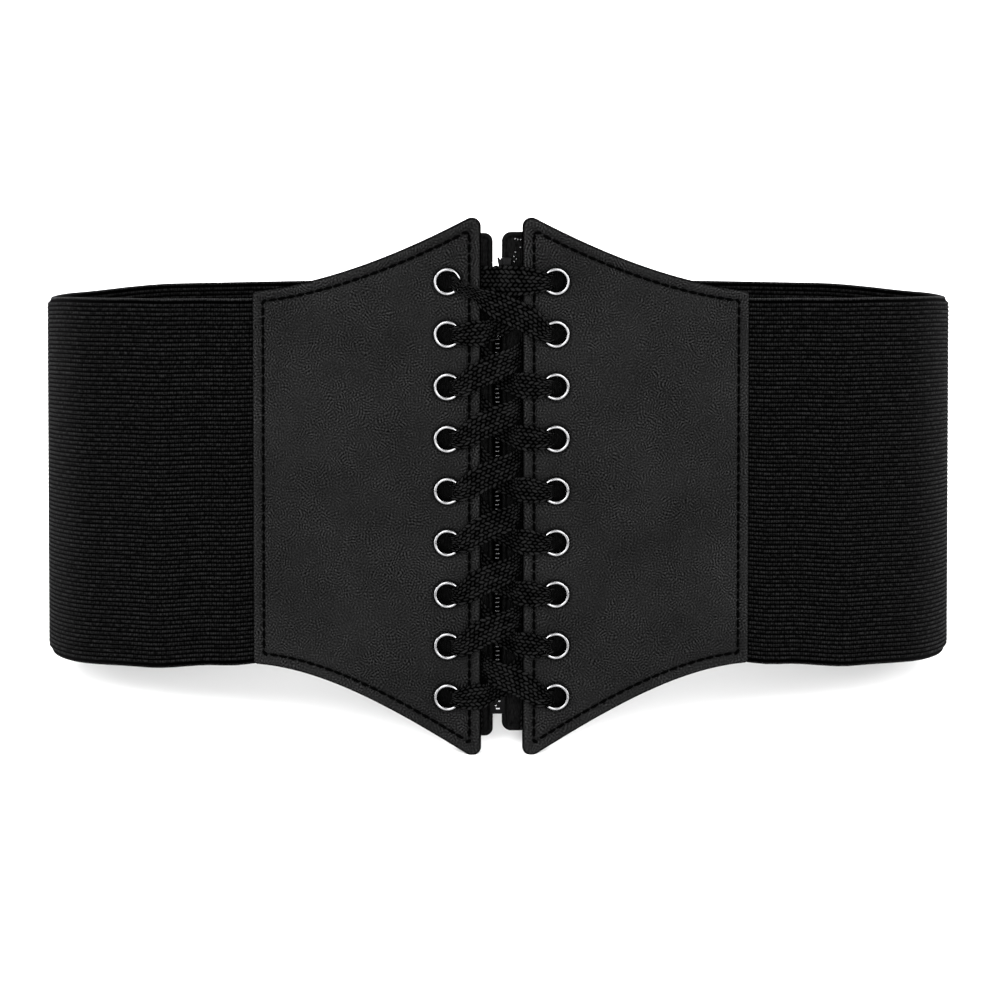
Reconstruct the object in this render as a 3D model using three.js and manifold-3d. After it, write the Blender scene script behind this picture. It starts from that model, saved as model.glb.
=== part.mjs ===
// A wide corset belt: two pointed leather panels laced together over a zip, and a ribbed elastic band
// that runs round the back of the waist. Millimetres, +Z up, front towards -Y, and +X to the right as one
// looks at the front.
//
// Every soft piece is drawn on the loop of the waist: u runs along the loop from the middle of the
// front, z is the height, and n is the distance outwards from the inner face of the panels. The belt
// stands on the two lower points of its panels and on the hem at its back, so it leans back a little.
import * as THREE from 'three';
import { mergeVertices } from 'three/addons/utils/BufferGeometryUtils.js';
import Module from 'manifold-3d';

// The loop of the waist, seen from above
const HALF_WIDTH = 170;
const FRONT_DEPTH = 80;
const REAR_DEPTH = 64;
const FOLD_RADIUS = 40;
// How much wider the waist grows for each millimetre below the panels' outer top corners
const FLARE = 0.00007;

// The two front panels
const PANEL_THICKNESS = 2.2;
const GAP_HALF = 7.25;
const PANEL_WIDTH = 82.5;
const PANEL_OUTER_TOP = 70.2;
const PANEL_OUTER_BOTTOM = -64.6;
const POINT_RISE = 28.7;
const POINT_DROP = 33.6;
const POINT_RADIUS = 3.2;
const OUTER_CORNER_RADIUS = 1.6;
// Shares of the rise or drop at a third and at two thirds of the panel's width
const RISE_SHAPE = { third: 0.10, twoThirds: 0.483 };
const DROP_SHAPE = { third: 0, twoThirds: 0.472 };
const UPPER_POINT = PANEL_OUTER_TOP + POINT_RISE;
const LOWER_POINT = PANEL_OUTER_BOTTOM - POINT_DROP;

// Eyelets
const EYELET_ROWS = 9;
const EYELET_PITCH = 18.56;
const EYELET_REACH = 19;
const EYELET_BORE = 3.64;
const EYELET_BARREL = 4.0;
const EYELET_FLANGE = 4.85;
const EYELET_BACK_FLARE = 4.75;
const FLANGE_HEIGHT = 0.8;
// Where the rolled flange is highest, as a share of the way from the bore to its rim
const FLANGE_CREST = 0.45;
const BACK_FLARE_HEIGHT = 0.6;
const EYELET_SIDES = 12;

// The lace: a flat braid
const LACE_WIDTH = 9.4;
const LACE_THICKNESS = 1.2;
const LACE_IN_BORE = 2.4;
const LACE_TAIL = 13;

// The elastic band
const ELASTIC_THICKNESS = 1.6;
const ELASTIC_OVERLAP = 12;
const CURL_REACH = 2.6;
// Edges of the band by the share of the way from its seam to the middle of the back. top and bottom are
// shares of the heights of the panels' outer corners, curl is a share of the band's thickness
const BAND_EDGES = [
  { share: 0.00, top: 0.963, bottom: 0.981, curl: 0.00 },
  { share: 0.08, top: 0.953, bottom: 1.029, curl: 0.00 },
  { share: 0.18, top: 0.942, bottom: 1.077, curl: 0.05 },
  { share: 0.28, top: 0.933, bottom: 1.094, curl: 0.40 },
  { share: 0.38, top: 0.912, bottom: 1.085, curl: 0.95 },
  { share: 0.47, top: 0.914, bottom: 1.090, curl: 0.40 },
  { share: 0.60, top: 0.945, bottom: 1.084, curl: 0.05 },
  { share: 1.00, top: 0.953, bottom: 1.079, curl: 0.00 },
];
const BAND_STEPS = { front: 9, fold: 18, rear: 13 };

// The zip and the two plackets that carry it
const PLACKET_THICKNESS = 1.2;
const PLACKET_LEVEL = -4.8;
const PLACKET_REACH = 37;
const PLACKET_FLAT_TO = 25;
const PLACKET_SEAM_FROM = 31;
const PLACKET_CORD = 1.9;
const PLACKET_INSET = 4;
const CORD_TIP = 0.6;
// Each placket ends inside the panels' points, with the radius of its corner at the zip
const PLACKET_ENDS = {
  left: { belowPoint: 7.8, abovePoint: 8.7, corner: 3.0 },
  right: { belowPoint: 7.4, abovePoint: 10.6, corner: 3.4 },
};
const ZIP_CENTRE = -1.5;
const ZIP_HALF_GAP = 1.6;
const CHAIN_THICKNESS = 1.8;
const SLIDER = { belowPoint: 20.4, height: 8.5, half: 3.8, taper: 0.75 };
const LUG = { left: 0.2, right: 5.1, height: 4.1 };
const PULL = { neck: 1.8, neckLength: 3.5, width: 3.2, length: 16.5 };
const BOX = { abovePoint: 17, height: 8.4, half: 2.8 };
const PLATE_THICKNESS = 0.7;
const BRIDGE_INSET = 1;

const CLEARANCE = 0.3;
const PLATE_LEVEL = PLACKET_LEVEL + PLACKET_CORD / 2 + CLEARANCE;

// Rest: how far the leather points and the rear hem flatten where they stand
const POINT_SINK = 0.4;
const HEM_SINK = 1.0;

const LEATHER = { color: 0x2a2a2b, roughness: 0.62, metalness: 0 };
const ELASTIC = { color: 0x0d0d0e, roughness: 0.85, metalness: 0 };
const BRAID = { color: 0x111112, roughness: 0.8, metalness: 0 };
const TAPE = { color: 0x121213, roughness: 0.7, metalness: 0 };
const NICKEL = { color: 0xc4c5c8, roughness: 0.28, metalness: 1 };
const BLACK_NICKEL = { color: 0x4a4a4d, roughness: 0.35, metalness: 1 };

const wasm = await Module();
wasm.setup();

const smooth = (t) => {
  const s = Math.min(Math.max(t, 0), 1);
  return s * s * (3 - 2 * s);
};
const mix = (a, b, t) => a + (b - a) * t;

// Radius of the front or rear arc of the loop, from its depth and the radius of the side folds
function arcRadius(depth) {
  const reach = HALF_WIDTH - FOLD_RADIUS;
  return (reach * reach + depth * depth - FOLD_RADIUS * FOLD_RADIUS) / (2 * (depth - FOLD_RADIUS));
}

const LOOP = (() => {
  const front = arcRadius(FRONT_DEPTH);
  const rear = arcRadius(REAR_DEPTH);
  const reach = HALF_WIDTH - FOLD_RADIUS;
  const frontTurn = Math.asin(reach / (front - FOLD_RADIUS));
  const rearTurn = Math.asin(reach / (rear - FOLD_RADIUS));
  const frontEnd = front * frontTurn;
  const foldEnd = frontEnd + FOLD_RADIUS * (Math.PI - frontTurn - rearTurn);
  return { front, rear, reach, frontTurn, rearTurn, frontEnd, foldEnd, half: foldEnd + rear * rearTurn };
})();

// A point of the belt from its place along the loop, its height and its distance outwards
function place(u, z, n) {
  const side = Math.sign(u) || 1;
  const run = Math.abs(u);
  let centre;
  let radius;
  let turn;
  if (run <= LOOP.frontEnd) {
    centre = { x: 0, y: LOOP.front - FRONT_DEPTH };
    radius = LOOP.front;
    turn = run / LOOP.front;
  } else if (run <= LOOP.foldEnd) {
    centre = { x: LOOP.reach, y: 0 };
    radius = FOLD_RADIUS;
    turn = LOOP.frontTurn + (run - LOOP.frontEnd) / FOLD_RADIUS;
  } else {
    centre = { x: 0, y: REAR_DEPTH - LOOP.rear };
    radius = LOOP.rear;
    turn = Math.PI - (LOOP.half - run) / LOOP.rear;
  }
  const x = centre.x + (radius + n) * Math.sin(turn);
  const y = centre.y - (radius + n) * Math.cos(turn);
  return new THREE.Vector3(side * x * (1 + FLARE * (PANEL_OUTER_TOP - z)), y, z);
}

// The three directions of the belt's surface at u: along the loop, up, and outwards
function directions(u) {
  const outwards = place(u, 0, 1).sub(place(u, 0, 0)).normalize();
  const up = new THREE.Vector3(0, 0, 1);
  const along = up.clone().cross(outwards);
  return { along, up, outwards };
}

// A cubic rise from 0 to 1 with given heights at a third and two thirds of the way
function rise(shape, t) {
  const s = 1 - t;
  return 3 * s * s * t * shape.third + 3 * s * t * t * shape.twoThirds + t * t * t;
}

// Height of a panel's edge at u, with its point and its outer corner rounded. way is 1 for the top
// edge and -1 for the bottom edge
function panelEdge(u, way) {
  const top = way > 0;
  const outer = top ? PANEL_OUTER_TOP : -PANEL_OUTER_BOTTOM;
  const reach = top ? POINT_RISE : POINT_DROP;
  const shape = top ? RISE_SHAPE : DROP_SHAPE;
  const fromPoint = u - GAP_HALF;
  const fromOuter = PANEL_WIDTH - fromPoint;
  let height = outer + reach * rise(shape, fromOuter / PANEL_WIDTH);
  const slope = (3 * reach * (1 - shape.twoThirds)) / PANEL_WIDTH;
  const slant = Math.hypot(1, slope);
  if (fromPoint < POINT_RADIUS * (1 + slope / slant)) {
    const centre = outer + reach - POINT_RADIUS * (slope + slant);
    height = centre + Math.sqrt(POINT_RADIUS ** 2 - (fromPoint - POINT_RADIUS) ** 2);
  }
  if (fromOuter < OUTER_CORNER_RADIUS) {
    const inset = OUTER_CORNER_RADIUS - fromOuter;
    height -= OUTER_CORNER_RADIUS - Math.sqrt(OUTER_CORNER_RADIUS ** 2 - inset * inset);
  }
  return way * height;
}

// The row of a table at a place in between, smoothly
function between(table, key, at) {
  const last = table.length - 2;
  const found = table.findIndex((row, index) => index > 0 && at <= row[key]) - 1;
  const index = found < 0 ? last : found;
  const [from, to] = [table[index], table[index + 1]];
  const t = smooth((at - from[key]) / (to[key] - from[key]));
  return Object.fromEntries(Object.keys(from).map((name) => [name, mix(from[name], to[name], t)]));
}

// The elastic band's edges and curl at a share of its way
function bandEdge(share) {
  const row = between(BAND_EDGES, 'share', share);
  return {
    top: PANEL_OUTER_TOP * row.top,
    bottom: PANEL_OUTER_BOTTOM * row.bottom,
    curl: ELASTIC_THICKNESS * row.curl,
  };
}

// Rest: the plane on which the two points and the rear hem stand
const REST = (() => {
  const point = {
    y: -(FRONT_DEPTH + PANEL_THICKNESS / 2),
    z: panelEdge(GAP_HALF + POINT_RADIUS, -1) + POINT_SINK,
  };
  const hem = { y: REAR_DEPTH - CLEARANCE, z: bandEdge(1).bottom + HEM_SINK };
  const lean = Math.atan2(hem.z - point.z, hem.y - point.y);
  const lift = hem.y * Math.sin(lean) - hem.z * Math.cos(lean);
  return { lean, lift };
})();

// Cloth and leather flatten on what they stand on
function settle(point) {
  const floor = (point.y * Math.sin(REST.lean) - REST.lift) / Math.cos(REST.lean);
  point.z = Math.max(point.z, floor);
  return point;
}

// A closed solid from rings of points: neighbours in a ring and neighbouring rings are joined, and the
// first and last rings are closed by a fan
function skin(rings) {
  const count = rings[0].length;
  const positions = rings.flat().flatMap((p) => [p.x, p.y, p.z]);
  const faces = [];
  for (let i = 0; i + 1 < rings.length; i += 1) {
    for (let j = 0; j < count; j += 1) {
      const k = (j + 1) % count;
      const [a, b] = [i * count + j, i * count + k];
      const [c, d] = [a + count, b + count];
      faces.push(a, d, b, a, c, d);
    }
  }
  const end = (rings.length - 1) * count;
  const half = count / 2;
  for (let j = 0; j < half - 1; j += 1) {
    const [a, b] = [j, j + 1];
    const [c, d] = [count - 1 - j, count - 2 - j];
    faces.push(a, b, d, a, d, c);
    faces.push(end + a, end + d, end + b, end + a, end + c, end + d);
  }
  const geometry = new THREE.BufferGeometry();
  geometry.setAttribute('position', new THREE.Float32BufferAttribute(positions, 3));
  geometry.setIndex(faces);
  return geometry;
}

// A wall that follows the loop. Each station has a place u and rows from the bottom edge to the top
// edge, each with its height and its inner and outer distance
function wall(stations) {
  const rings = stations.map(({ u, rows }) => {
    const outer = rows.map((row) => settle(place(u, row.z, row.outer)));
    const inner = rows.map((row) => settle(place(u, row.z, row.inner)));
    return [...outer, ...inner.reverse()];
  });
  return skin(rings);
}

function solid(geometry) {
  const bare = geometry.clone();
  bare.deleteAttribute('normal');
  bare.deleteAttribute('uv');
  const merged = mergeVertices(bare, 1e-4);
  const vertProperties = Float32Array.from(merged.attributes.position.array);
  const triVerts = Uint32Array.from(merged.index.array);
  return new wasm.Manifold(new wasm.Mesh({ numProp: 3, vertProperties, triVerts }));
}

function fromSolid(body) {
  const { vertProperties, triVerts } = body.getMesh();
  const geometry = new THREE.BufferGeometry();
  geometry.setAttribute('position', new THREE.BufferAttribute(Float32Array.from(vertProperties), 3));
  geometry.setIndex(new THREE.BufferAttribute(Uint32Array.from(triVerts), 1));
  return geometry;
}

const belt = new THREE.Group();

function add(name, geometry, look) {
  geometry.computeVertexNormals();
  const mesh = new THREE.Mesh(geometry, new THREE.MeshStandardMaterial(look));
  mesh.name = name;
  belt.add(mesh);
  return mesh;
}

const SIDES = [
  { name: 'left', letter: 'l', way: -1 },
  { name: 'right', letter: 'r', way: 1 },
];

const rowHeight = (row) => EYELET_PITCH * ((EYELET_ROWS + 1) / 2 - row);

// Turns a shape drawn round its own +Y axis so that its axis points out of the belt at an eyelet
function seat(geometry, way, row) {
  const { along, up, outwards } = directions(way * EYELET_REACH);
  const turn = new THREE.Matrix4().makeBasis(along, outwards, up.clone().negate());
  turn.setPosition(place(way * EYELET_REACH, rowHeight(row), 0));
  return geometry.applyMatrix4(turn);
}

// Stations across a panel: close together round the point, one wide step over the eyelets. The point's
// are given in radii of the point, the outer corner's in radii of the corner
const POINT_STATIONS = [0, 0.12, 0.4, 0.85, 1.3, 1.75];
const CORNER_STATIONS = [0.7, 0.3, 0];
const FIELD_STEPS = 7;

function panelStations() {
  const point = POINT_STATIONS.map((share) => GAP_HALF + share * POINT_RADIUS);
  const beside = EYELET_BARREL + 2 * CLEARANCE;
  const outer = GAP_HALF + PANEL_WIDTH;
  const field = Array.from({ length: FIELD_STEPS + 1 }, (_, step) => (
    mix(EYELET_REACH + beside, outer - OUTER_CORNER_RADIUS, step / FIELD_STEPS)));
  const corner = CORNER_STATIONS.map((share) => outer - share * OUTER_CORNER_RADIUS);
  return [...point, EYELET_REACH - beside, ...field, ...corner];
}

function panel(way) {
  const stations = panelStations().map((run) => ({
    u: way * run,
    rows: [
      { z: panelEdge(run, -1), inner: 0, outer: PANEL_THICKNESS },
      { z: panelEdge(run, 1), inner: 0, outer: PANEL_THICKNESS },
    ],
  }));
  const leather = wall(way > 0 ? stations : stations.reverse());
  let body = solid(leather);
  for (let row = 1; row <= EYELET_ROWS; row += 1) {
    const hole = new THREE.CylinderGeometry(
      EYELET_BARREL + CLEARANCE, EYELET_BARREL + CLEARANCE, 4 * PANEL_THICKNESS, EYELET_SIDES);
    body = body.subtract(solid(seat(hole, way, row)));
  }
  return fromSolid(body);
}

// An eyelet: a rolled flange on the front, a barrel through the leather, a flare at the back
function eyelet(way, row) {
  const face = PANEL_THICKNESS + CLEARANCE;
  const crest = mix(EYELET_BORE, EYELET_FLANGE, FLANGE_CREST);
  const profile = [
    [EYELET_BORE, -CLEARANCE - BACK_FLARE_HEIGHT / 2],
    [crest, -CLEARANCE - BACK_FLARE_HEIGHT],
    [EYELET_BACK_FLARE, -CLEARANCE],
    [EYELET_BARREL, -CLEARANCE],
    [EYELET_BARREL, face],
    [EYELET_FLANGE, face],
    [crest, face + FLANGE_HEIGHT],
    [EYELET_BORE, face + FLANGE_HEIGHT / 2],
    [EYELET_BORE, -CLEARANCE - BACK_FLARE_HEIGHT / 2],
  ].map(([r, n]) => new THREE.Vector2(r, n));
  const ring = new THREE.LatheGeometry(profile, EYELET_SIDES);
  return fromSolid(solid(seat(ring, way, row)));
}

// The lace runs at two levels: behind the panels, and over the eyelets in front of them
const LACE_BACK = -CLEARANCE - BACK_FLARE_HEIGHT - CLEARANCE - LACE_THICKNESS / 2;
const LACE_FRONT = PANEL_THICKNESS + 2 * CLEARANCE + FLANGE_HEIGHT + LACE_THICKNESS / 2;
const LACE_RISE = LACE_FRONT - LACE_BACK;
// Share of that rise at which the lace clears the leather, and the way over which it climbs the rest
const OVER_LEATHER = 0.87;
const EYELET_CLIMB = { from: 0.42, to: 0.72 };

// A strap that is in front from its start, and one that stays behind
const ALREADY_OVER = { from: -3, to: -2 };
const NEVER_OVER = { from: 2, to: 3 };

// Routes of the lace between two eyelets. climb says where it passes from the back to the front, across
// from the eyelet that it leaves (-1) to the one that it enters (1). In the steps, rise is in eyelet rows
// above the one it enters, tip turns the flat of the lace (degrees), wide is a share of its full width,
// and cup is how far it curls round the wall of the bore
const OVER = {
  climb: { from: -0.44, to: -0.11 },
  steps: [
    { across: -0.75, rise: 0.985, tip: -14, wide: 0.76, cup: 0.25 },
    { across: -0.56, rise: 0.80, tip: -34, wide: 0.82, cup: 0 },
    { across: -0.42, rise: 0.65, tip: -31, wide: 0.84, cup: 0 },
    { across: -0.34, rise: 0.60, tip: -28, wide: 0.85, cup: 0 },
    { across: -0.26, rise: 0.56, tip: -26, wide: 0.82, cup: 0 },
    { across: -0.18, rise: 0.52, tip: -25, wide: 0.84, cup: 0 },
    { across: -0.08, rise: 0.47, tip: -25, wide: 0.92, cup: 0 },
    { across: 0.12, rise: 0.375, tip: -25, wide: 0.98, cup: 0 },
    { across: 0.38, rise: 0.25, tip: -26, wide: 1.00, cup: 0 },
    { across: 0.58, rise: 0.11, tip: -22, wide: 0.93, cup: 0.1 },
    { across: 0.75, rise: 0.01, tip: -8, wide: 0.80, cup: 0.3 },
  ],
};
const UNDER = {
  climb: { from: 0.035, to: 0.415 },
  steps: [
    { across: -0.75, rise: 0.985, tip: -16, wide: 0.76, cup: 0.25 },
    { across: -0.56, rise: 0.74, tip: -44, wide: 0.86, cup: 0 },
    { across: -0.38, rise: 0.52, tip: -42, wide: 0.92, cup: 0 },
    { across: -0.18, rise: 0.34, tip: -39, wide: 0.92, cup: 0 },
    { across: 0.00, rise: 0.195, tip: -35, wide: 0.90, cup: 0 },
    { across: 0.10, rise: 0.13, tip: -30, wide: 0.88, cup: 0 },
    { across: 0.18, rise: 0.08, tip: -22, wide: 0.83, cup: 0 },
    { across: 0.26, rise: 0.05, tip: -15, wide: 0.85, cup: 0 },
    { across: 0.34, rise: 0.04, tip: -10, wide: 0.93, cup: 0 },
    { across: 0.44, rise: 0.03, tip: -7, wide: 0.98, cup: 0 },
    { across: 0.59, rise: 0.015, tip: -5, wide: 0.94, cup: 0.1 },
    { across: 0.75, rise: 0, tip: -2, wide: 0.80, cup: 0.3 },
  ],
};
// From the front of the first left eyelet to the second right one, over everything: a narrow neck at
// the first eyelet that opens out
const FIRST = {
  climb: ALREADY_OVER,
  steps: [
    { across: -0.78, rise: 0.94, tip: -20, wide: 0.56, cup: -0.2 },
    { across: -0.62, rise: 0.84, tip: -38, wide: 0.42, cup: 0 },
    { across: -0.44, rise: 0.73, tip: -30, wide: 0.50, cup: 0 },
    { across: -0.22, rise: 0.61, tip: -26, wide: 0.76, cup: 0 },
    { across: 0.04, rise: 0.475, tip: -28, wide: 0.96, cup: 0 },
    { across: 0.38, rise: 0.32, tip: -26, wide: 1.04, cup: 0 },
    { across: 0.60, rise: 0.16, tip: -18, wide: 0.98, cup: 0.1 },
    { across: 0.75, rise: 0.04, tip: -6, wide: 0.80, cup: 0.3 },
  ],
};
// The level bar across the top, from behind the left panel to the front of the right one
const BAR = {
  climb: { from: -0.37, to: 0.31 },
  steps: [
    { across: -0.75, rise: 0, tip: 0, wide: 0.76, cup: 0.25 },
    { across: -0.56, rise: 0, tip: 0, wide: 0.94, cup: 0 },
    { across: -0.37, rise: 0.01, tip: 0, wide: 1.06, cup: 0 },
    { across: -0.20, rise: 0.01, tip: 0, wide: 1.10, cup: 0 },
    { across: -0.03, rise: 0.02, tip: 0, wide: 1.12, cup: 0 },
    { across: 0.14, rise: 0.02, tip: 0, wide: 1.12, cup: 0 },
    { across: 0.31, rise: 0.02, tip: 0, wide: 1.10, cup: 0 },
    { across: 0.44, rise: 0.01, tip: 0, wide: 1.06, cup: 0 },
    { across: 0.60, rise: 0.01, tip: 0, wide: 0.96, cup: 0.1 },
    { across: 0.75, rise: 0, tip: 0, wide: 0.80, cup: 0.3 },
  ],
};
// Both ends hang down behind the panels; rise is here in lengths of the tail
const TAIL = {
  climb: NEVER_OVER,
  steps: [
    { across: 0.75, rise: -0.02, tip: 10, wide: 0.76, cup: 0.25 },
    { across: 0.63, rise: -0.20, tip: 45, wide: 0.84, cup: 0 },
    { across: 0.58, rise: -0.55, tip: 78, wide: 0.90, cup: 0 },
    { across: 0.57, rise: -1.00, tip: 88, wide: 0.90, cup: 0 },
  ],
};
// Down the bore of an eyelet, from its front to its back. inset is how much further in than its place at
// the wall of the bore the lace lies, as a share of LACE_IN_BORE, and out is a share of the lace's rise
const BORE = [
  { inset: 0.29, out: 0.88, cup: 0.75 },
  { inset: 0, out: 0.5, cup: 1 },
  { inset: 0.29, out: 0.12, cup: 0.75 },
];
const BORE_WIDE = 0.70;

// How far out the lace lies at a place across, as a share of its rise
function outShare(climb, across) {
  const leather = smooth((across - climb.from) / (climb.to - climb.from));
  const flange = (run) => smooth((run - EYELET_CLIMB.from) / (EYELET_CLIMB.to - EYELET_CLIMB.from));
  const before = climb === ALREADY_OVER ? flange(-across) : 0;
  return OVER_LEATHER * leather + (1 - OVER_LEATHER) * Math.max(flange(across) * leather, before);
}

// The legs of one route, mirrored to enter on the given side
function leg({ climb, steps }, way, row, riseUnit = EYELET_PITCH) {
  return steps.map((step) => ({
    way,
    climb,
    across: step.across,
    u: way * step.across * EYELET_REACH,
    z: rowHeight(row) + step.rise * riseUnit,
    n: LACE_BACK + LACE_RISE * outShare(climb, step.across),
    tip: way * step.tip,
    width: step.wide * LACE_WIDTH,
    cup: Math.sign(way * step.across) * step.cup,
  }));
}

function bore(way, row) {
  return BORE.map((step) => ({
    u: way * (EYELET_REACH - LACE_IN_BORE * (1 + step.inset)),
    z: rowHeight(row),
    n: LACE_BACK + LACE_RISE * step.out,
    tip: 0,
    width: BORE_WIDE * LACE_WIDTH,
    cup: way * step.cup,
  }));
}

// The same way points travelled the other way round
const backwards = (points) => points.map((p) => ({ ...p, cup: -p.cup })).reverse();

// The whole lace: up from one tail to the bar, and down again to the other tail. The strap that enters
// on the left lies over the one that enters on the right, but for the last row
function lacePoints() {
  const route = (lastWay, firstRow) => {
    const points = [];
    for (let row = EYELET_ROWS, way = lastWay; row >= firstRow; row -= 1, way = -way) {
      const isOver = row === EYELET_ROWS ? way > 0 : way < 0 && row > 2;
      points.push(...backwards(bore(way, row)));
      points.push(...backwards(leg(isOver ? OVER : UNDER, way, row)));
    }
    return points;
  };
  const tail = (way) => leg(TAIL, way, EYELET_ROWS, LACE_TAIL);
  const up = [...backwards(tail(1)), ...route(1, 2), ...backwards(bore(1, 1))];
  const bar = [...backwards(leg(BAR, 1, 1)), ...backwards(bore(-1, 1))];
  const first = [...leg(FIRST, 1, 2), ...bore(1, 2)];
  const down = [...backwards(route(-1, 3)), ...tail(-1)];
  return [...up, ...bar, ...first, ...down];
}

// Half of the ring of points round the flat braid: side in half widths, face in thicknesses. The other
// half is the same one turned over
const BRAID_HALF_RING = [
  { side: -1, face: 0.35 },
  { side: -0.45, face: 0.5 },
  { side: 0.45, face: 0.5 },
  { side: 1, face: 0.35 },
];
const BRAID_RING = [
  ...BRAID_HALF_RING,
  ...BRAID_HALF_RING.map(({ side, face }) => ({ side: -side, face: -face })),
];

function lace() {
  const points = lacePoints();
  const centres = points.map((p) => place(p.u, p.z, p.n));
  const flats = points.map((p) => {
    const { along, up } = directions(p.u);
    const tip = THREE.MathUtils.degToRad(p.tip);
    return up.multiplyScalar(Math.cos(tip)).addScaledVector(along, -Math.sin(tip));
  });
  const centreLine = new THREE.CatmullRomCurve3(centres, false, 'centripetal');
  const flatLine = new THREE.CatmullRomCurve3(flats, false, 'catmullrom', 0.5);
  const last = points.length - 1;
  const rings = [];
  for (let i = 0; i <= last; i += 1) {
    const forward = centreLine.getTangent(i / last);
    const flat = flatLine.getPoint(i / last);
    flat.addScaledVector(forward, -flat.dot(forward)).normalize();
    const thick = forward.clone().cross(flat);
    const { u, way, climb, across, width, cup } = points[i];
    const { along, outwards } = directions(u);
    const bend = cup / LACE_IN_BORE;
    rings.push(BRAID_RING.map(({ side, face }) => {
      const reach = (side * width) / 2;
      const turn = reach * bend;
      const over = bend ? Math.sin(turn) / bend : reach;
      const dip = bend ? (1 - Math.cos(turn)) / bend : 0;
      const level = face * LACE_THICKNESS;
      const p = centres[i].clone();
      p.addScaledVector(flat, over - level * Math.sin(turn));
      p.addScaledVector(thick, dip + level * Math.cos(turn));
      if (!climb) return p;
      const aside = across + (way * p.clone().sub(centres[i]).dot(along)) / EYELET_REACH;
      return p.addScaledVector(outwards, LACE_RISE * (outShare(climb, aside) - outShare(climb, across)));
    }));
  }
  return skin(rings);
}

// The elastic band from seam to seam round the back, its edges curled in at the folds
function elasticBand() {
  const seam = GAP_HALF + PANEL_WIDTH - ELASTIC_OVERLAP;
  const run = LOOP.half - seam;
  const spread = (from, to, steps) => Array.from({ length: steps }, (_, i) => mix(from, to, i / steps));
  const half = [
    ...spread(seam, LOOP.frontEnd, BAND_STEPS.front),
    ...spread(LOOP.frontEnd, LOOP.foldEnd, BAND_STEPS.fold),
    ...spread(LOOP.foldEnd, LOOP.half, BAND_STEPS.rear),
    LOOP.half,
  ];
  const level = (z, curl) => {
    const outer = -CLEARANCE - curl;
    return { z, inner: outer - ELASTIC_THICKNESS, outer };
  };
  const stationAt = (u) => {
    const { top, bottom, curl } = bandEdge((Math.abs(u) - seam) / run);
    const low = [level(bottom, curl), level(bottom + CURL_REACH, 0)];
    const high = [level(top - CURL_REACH, 0), level(top, curl)];
    return { u, rows: [...low, ...high] };
  };
  const right = half.map((u) => stationAt(u));
  const left = half.slice(0, -1).reverse().map((u) => stationAt(-u));
  return wall([...right, ...left]);
}

// A placket: flat behind the lace, bent forward to its seam on the panel, with a corded edge at the zip.
// Its stations are shares of the cord's width and of the flat stretch beside it
const CORD_STATIONS = [0, 0.15, 0.5, 0.85, 1];
const FLAT_STATIONS = [0.1, 0.4, 0.7, 1];

function placket({ name, way }) {
  const { belowPoint, abovePoint, corner } = PLACKET_ENDS[name];
  const edge = way * ZIP_CENTRE + ZIP_HALF_GAP;
  const corded = CORD_STATIONS.map((share) => edge + share * PLACKET_CORD);
  const flat = FLAT_STATIONS.map((share) => mix(edge + PLACKET_CORD, PLACKET_FLAT_TO, share));
  const stations = [...corded, ...flat, PLACKET_SEAM_FROM, PLACKET_REACH].map((run) => {
    const seam = smooth((run - PLACKET_FLAT_TO) / (PLACKET_SEAM_FROM - PLACKET_FLAT_TO));
    const middle = mix(PLACKET_LEVEL, -CLEARANCE - PLACKET_THICKNESS / 2, seam);
    const fromEdge = run - edge;
    const round = Math.sqrt(Math.max(0, 1 - (2 * fromEdge / PLACKET_CORD - 1) ** 2));
    const least = fromEdge > PLACKET_CORD / 2 ? PLACKET_THICKNESS : CORD_TIP;
    const thickness = Math.max(PLACKET_CORD * round, least);
    const inset = Math.min(Math.max(0, corner - fromEdge), corner);
    const cut = corner - Math.sqrt(corner ** 2 - inset ** 2);
    const under = Math.max(run, GAP_HALF + 2 * POINT_RADIUS);
    const top = Math.min(UPPER_POINT - belowPoint - cut, panelEdge(under, 1) - PLACKET_INSET);
    const bottom = Math.max(LOWER_POINT + abovePoint + cut, panelEdge(under, -1) + PLACKET_INSET);
    const level = (z) => ({ z, inner: middle - thickness / 2, outer: middle + thickness / 2 });
    return { u: way * run, rows: [level(bottom), level(top)] };
  });
  return wall(way > 0 ? stations : stations.reverse());
}

// A block between two corners, given by u, z and n, near the middle of the front
function block(from, to) {
  const box = new THREE.BoxGeometry(to.u - from.u, to.n - from.n, to.z - from.z);
  return box.translate((from.u + to.u) / 2, -FRONT_DEPTH - (from.n + to.n) / 2, (from.z + to.z) / 2);
}

// Bottom and top of the slider and of the retaining box
const SLIDER_TOP = UPPER_POINT - SLIDER.belowPoint;
const SLIDER_BOTTOM = SLIDER_TOP - SLIDER.height;
const BOX_BOTTOM = LOWER_POINT + BOX.abovePoint;
const BOX_TOP = BOX_BOTTOM + BOX.height;

// The closed chain of the zip, between the corded edges
function zipChain() {
  const half = ZIP_HALF_GAP - CLEARANCE;
  const back = PLACKET_LEVEL - CHAIN_THICKNESS / 2;
  return block(
    { u: ZIP_CENTRE - half, n: back, z: BOX_TOP - BRIDGE_INSET + CLEARANCE },
    { u: ZIP_CENTRE + half, n: back + CHAIN_THICKNESS, z: SLIDER_BOTTOM + BRIDGE_INSET - CLEARANCE },
  );
}

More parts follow.
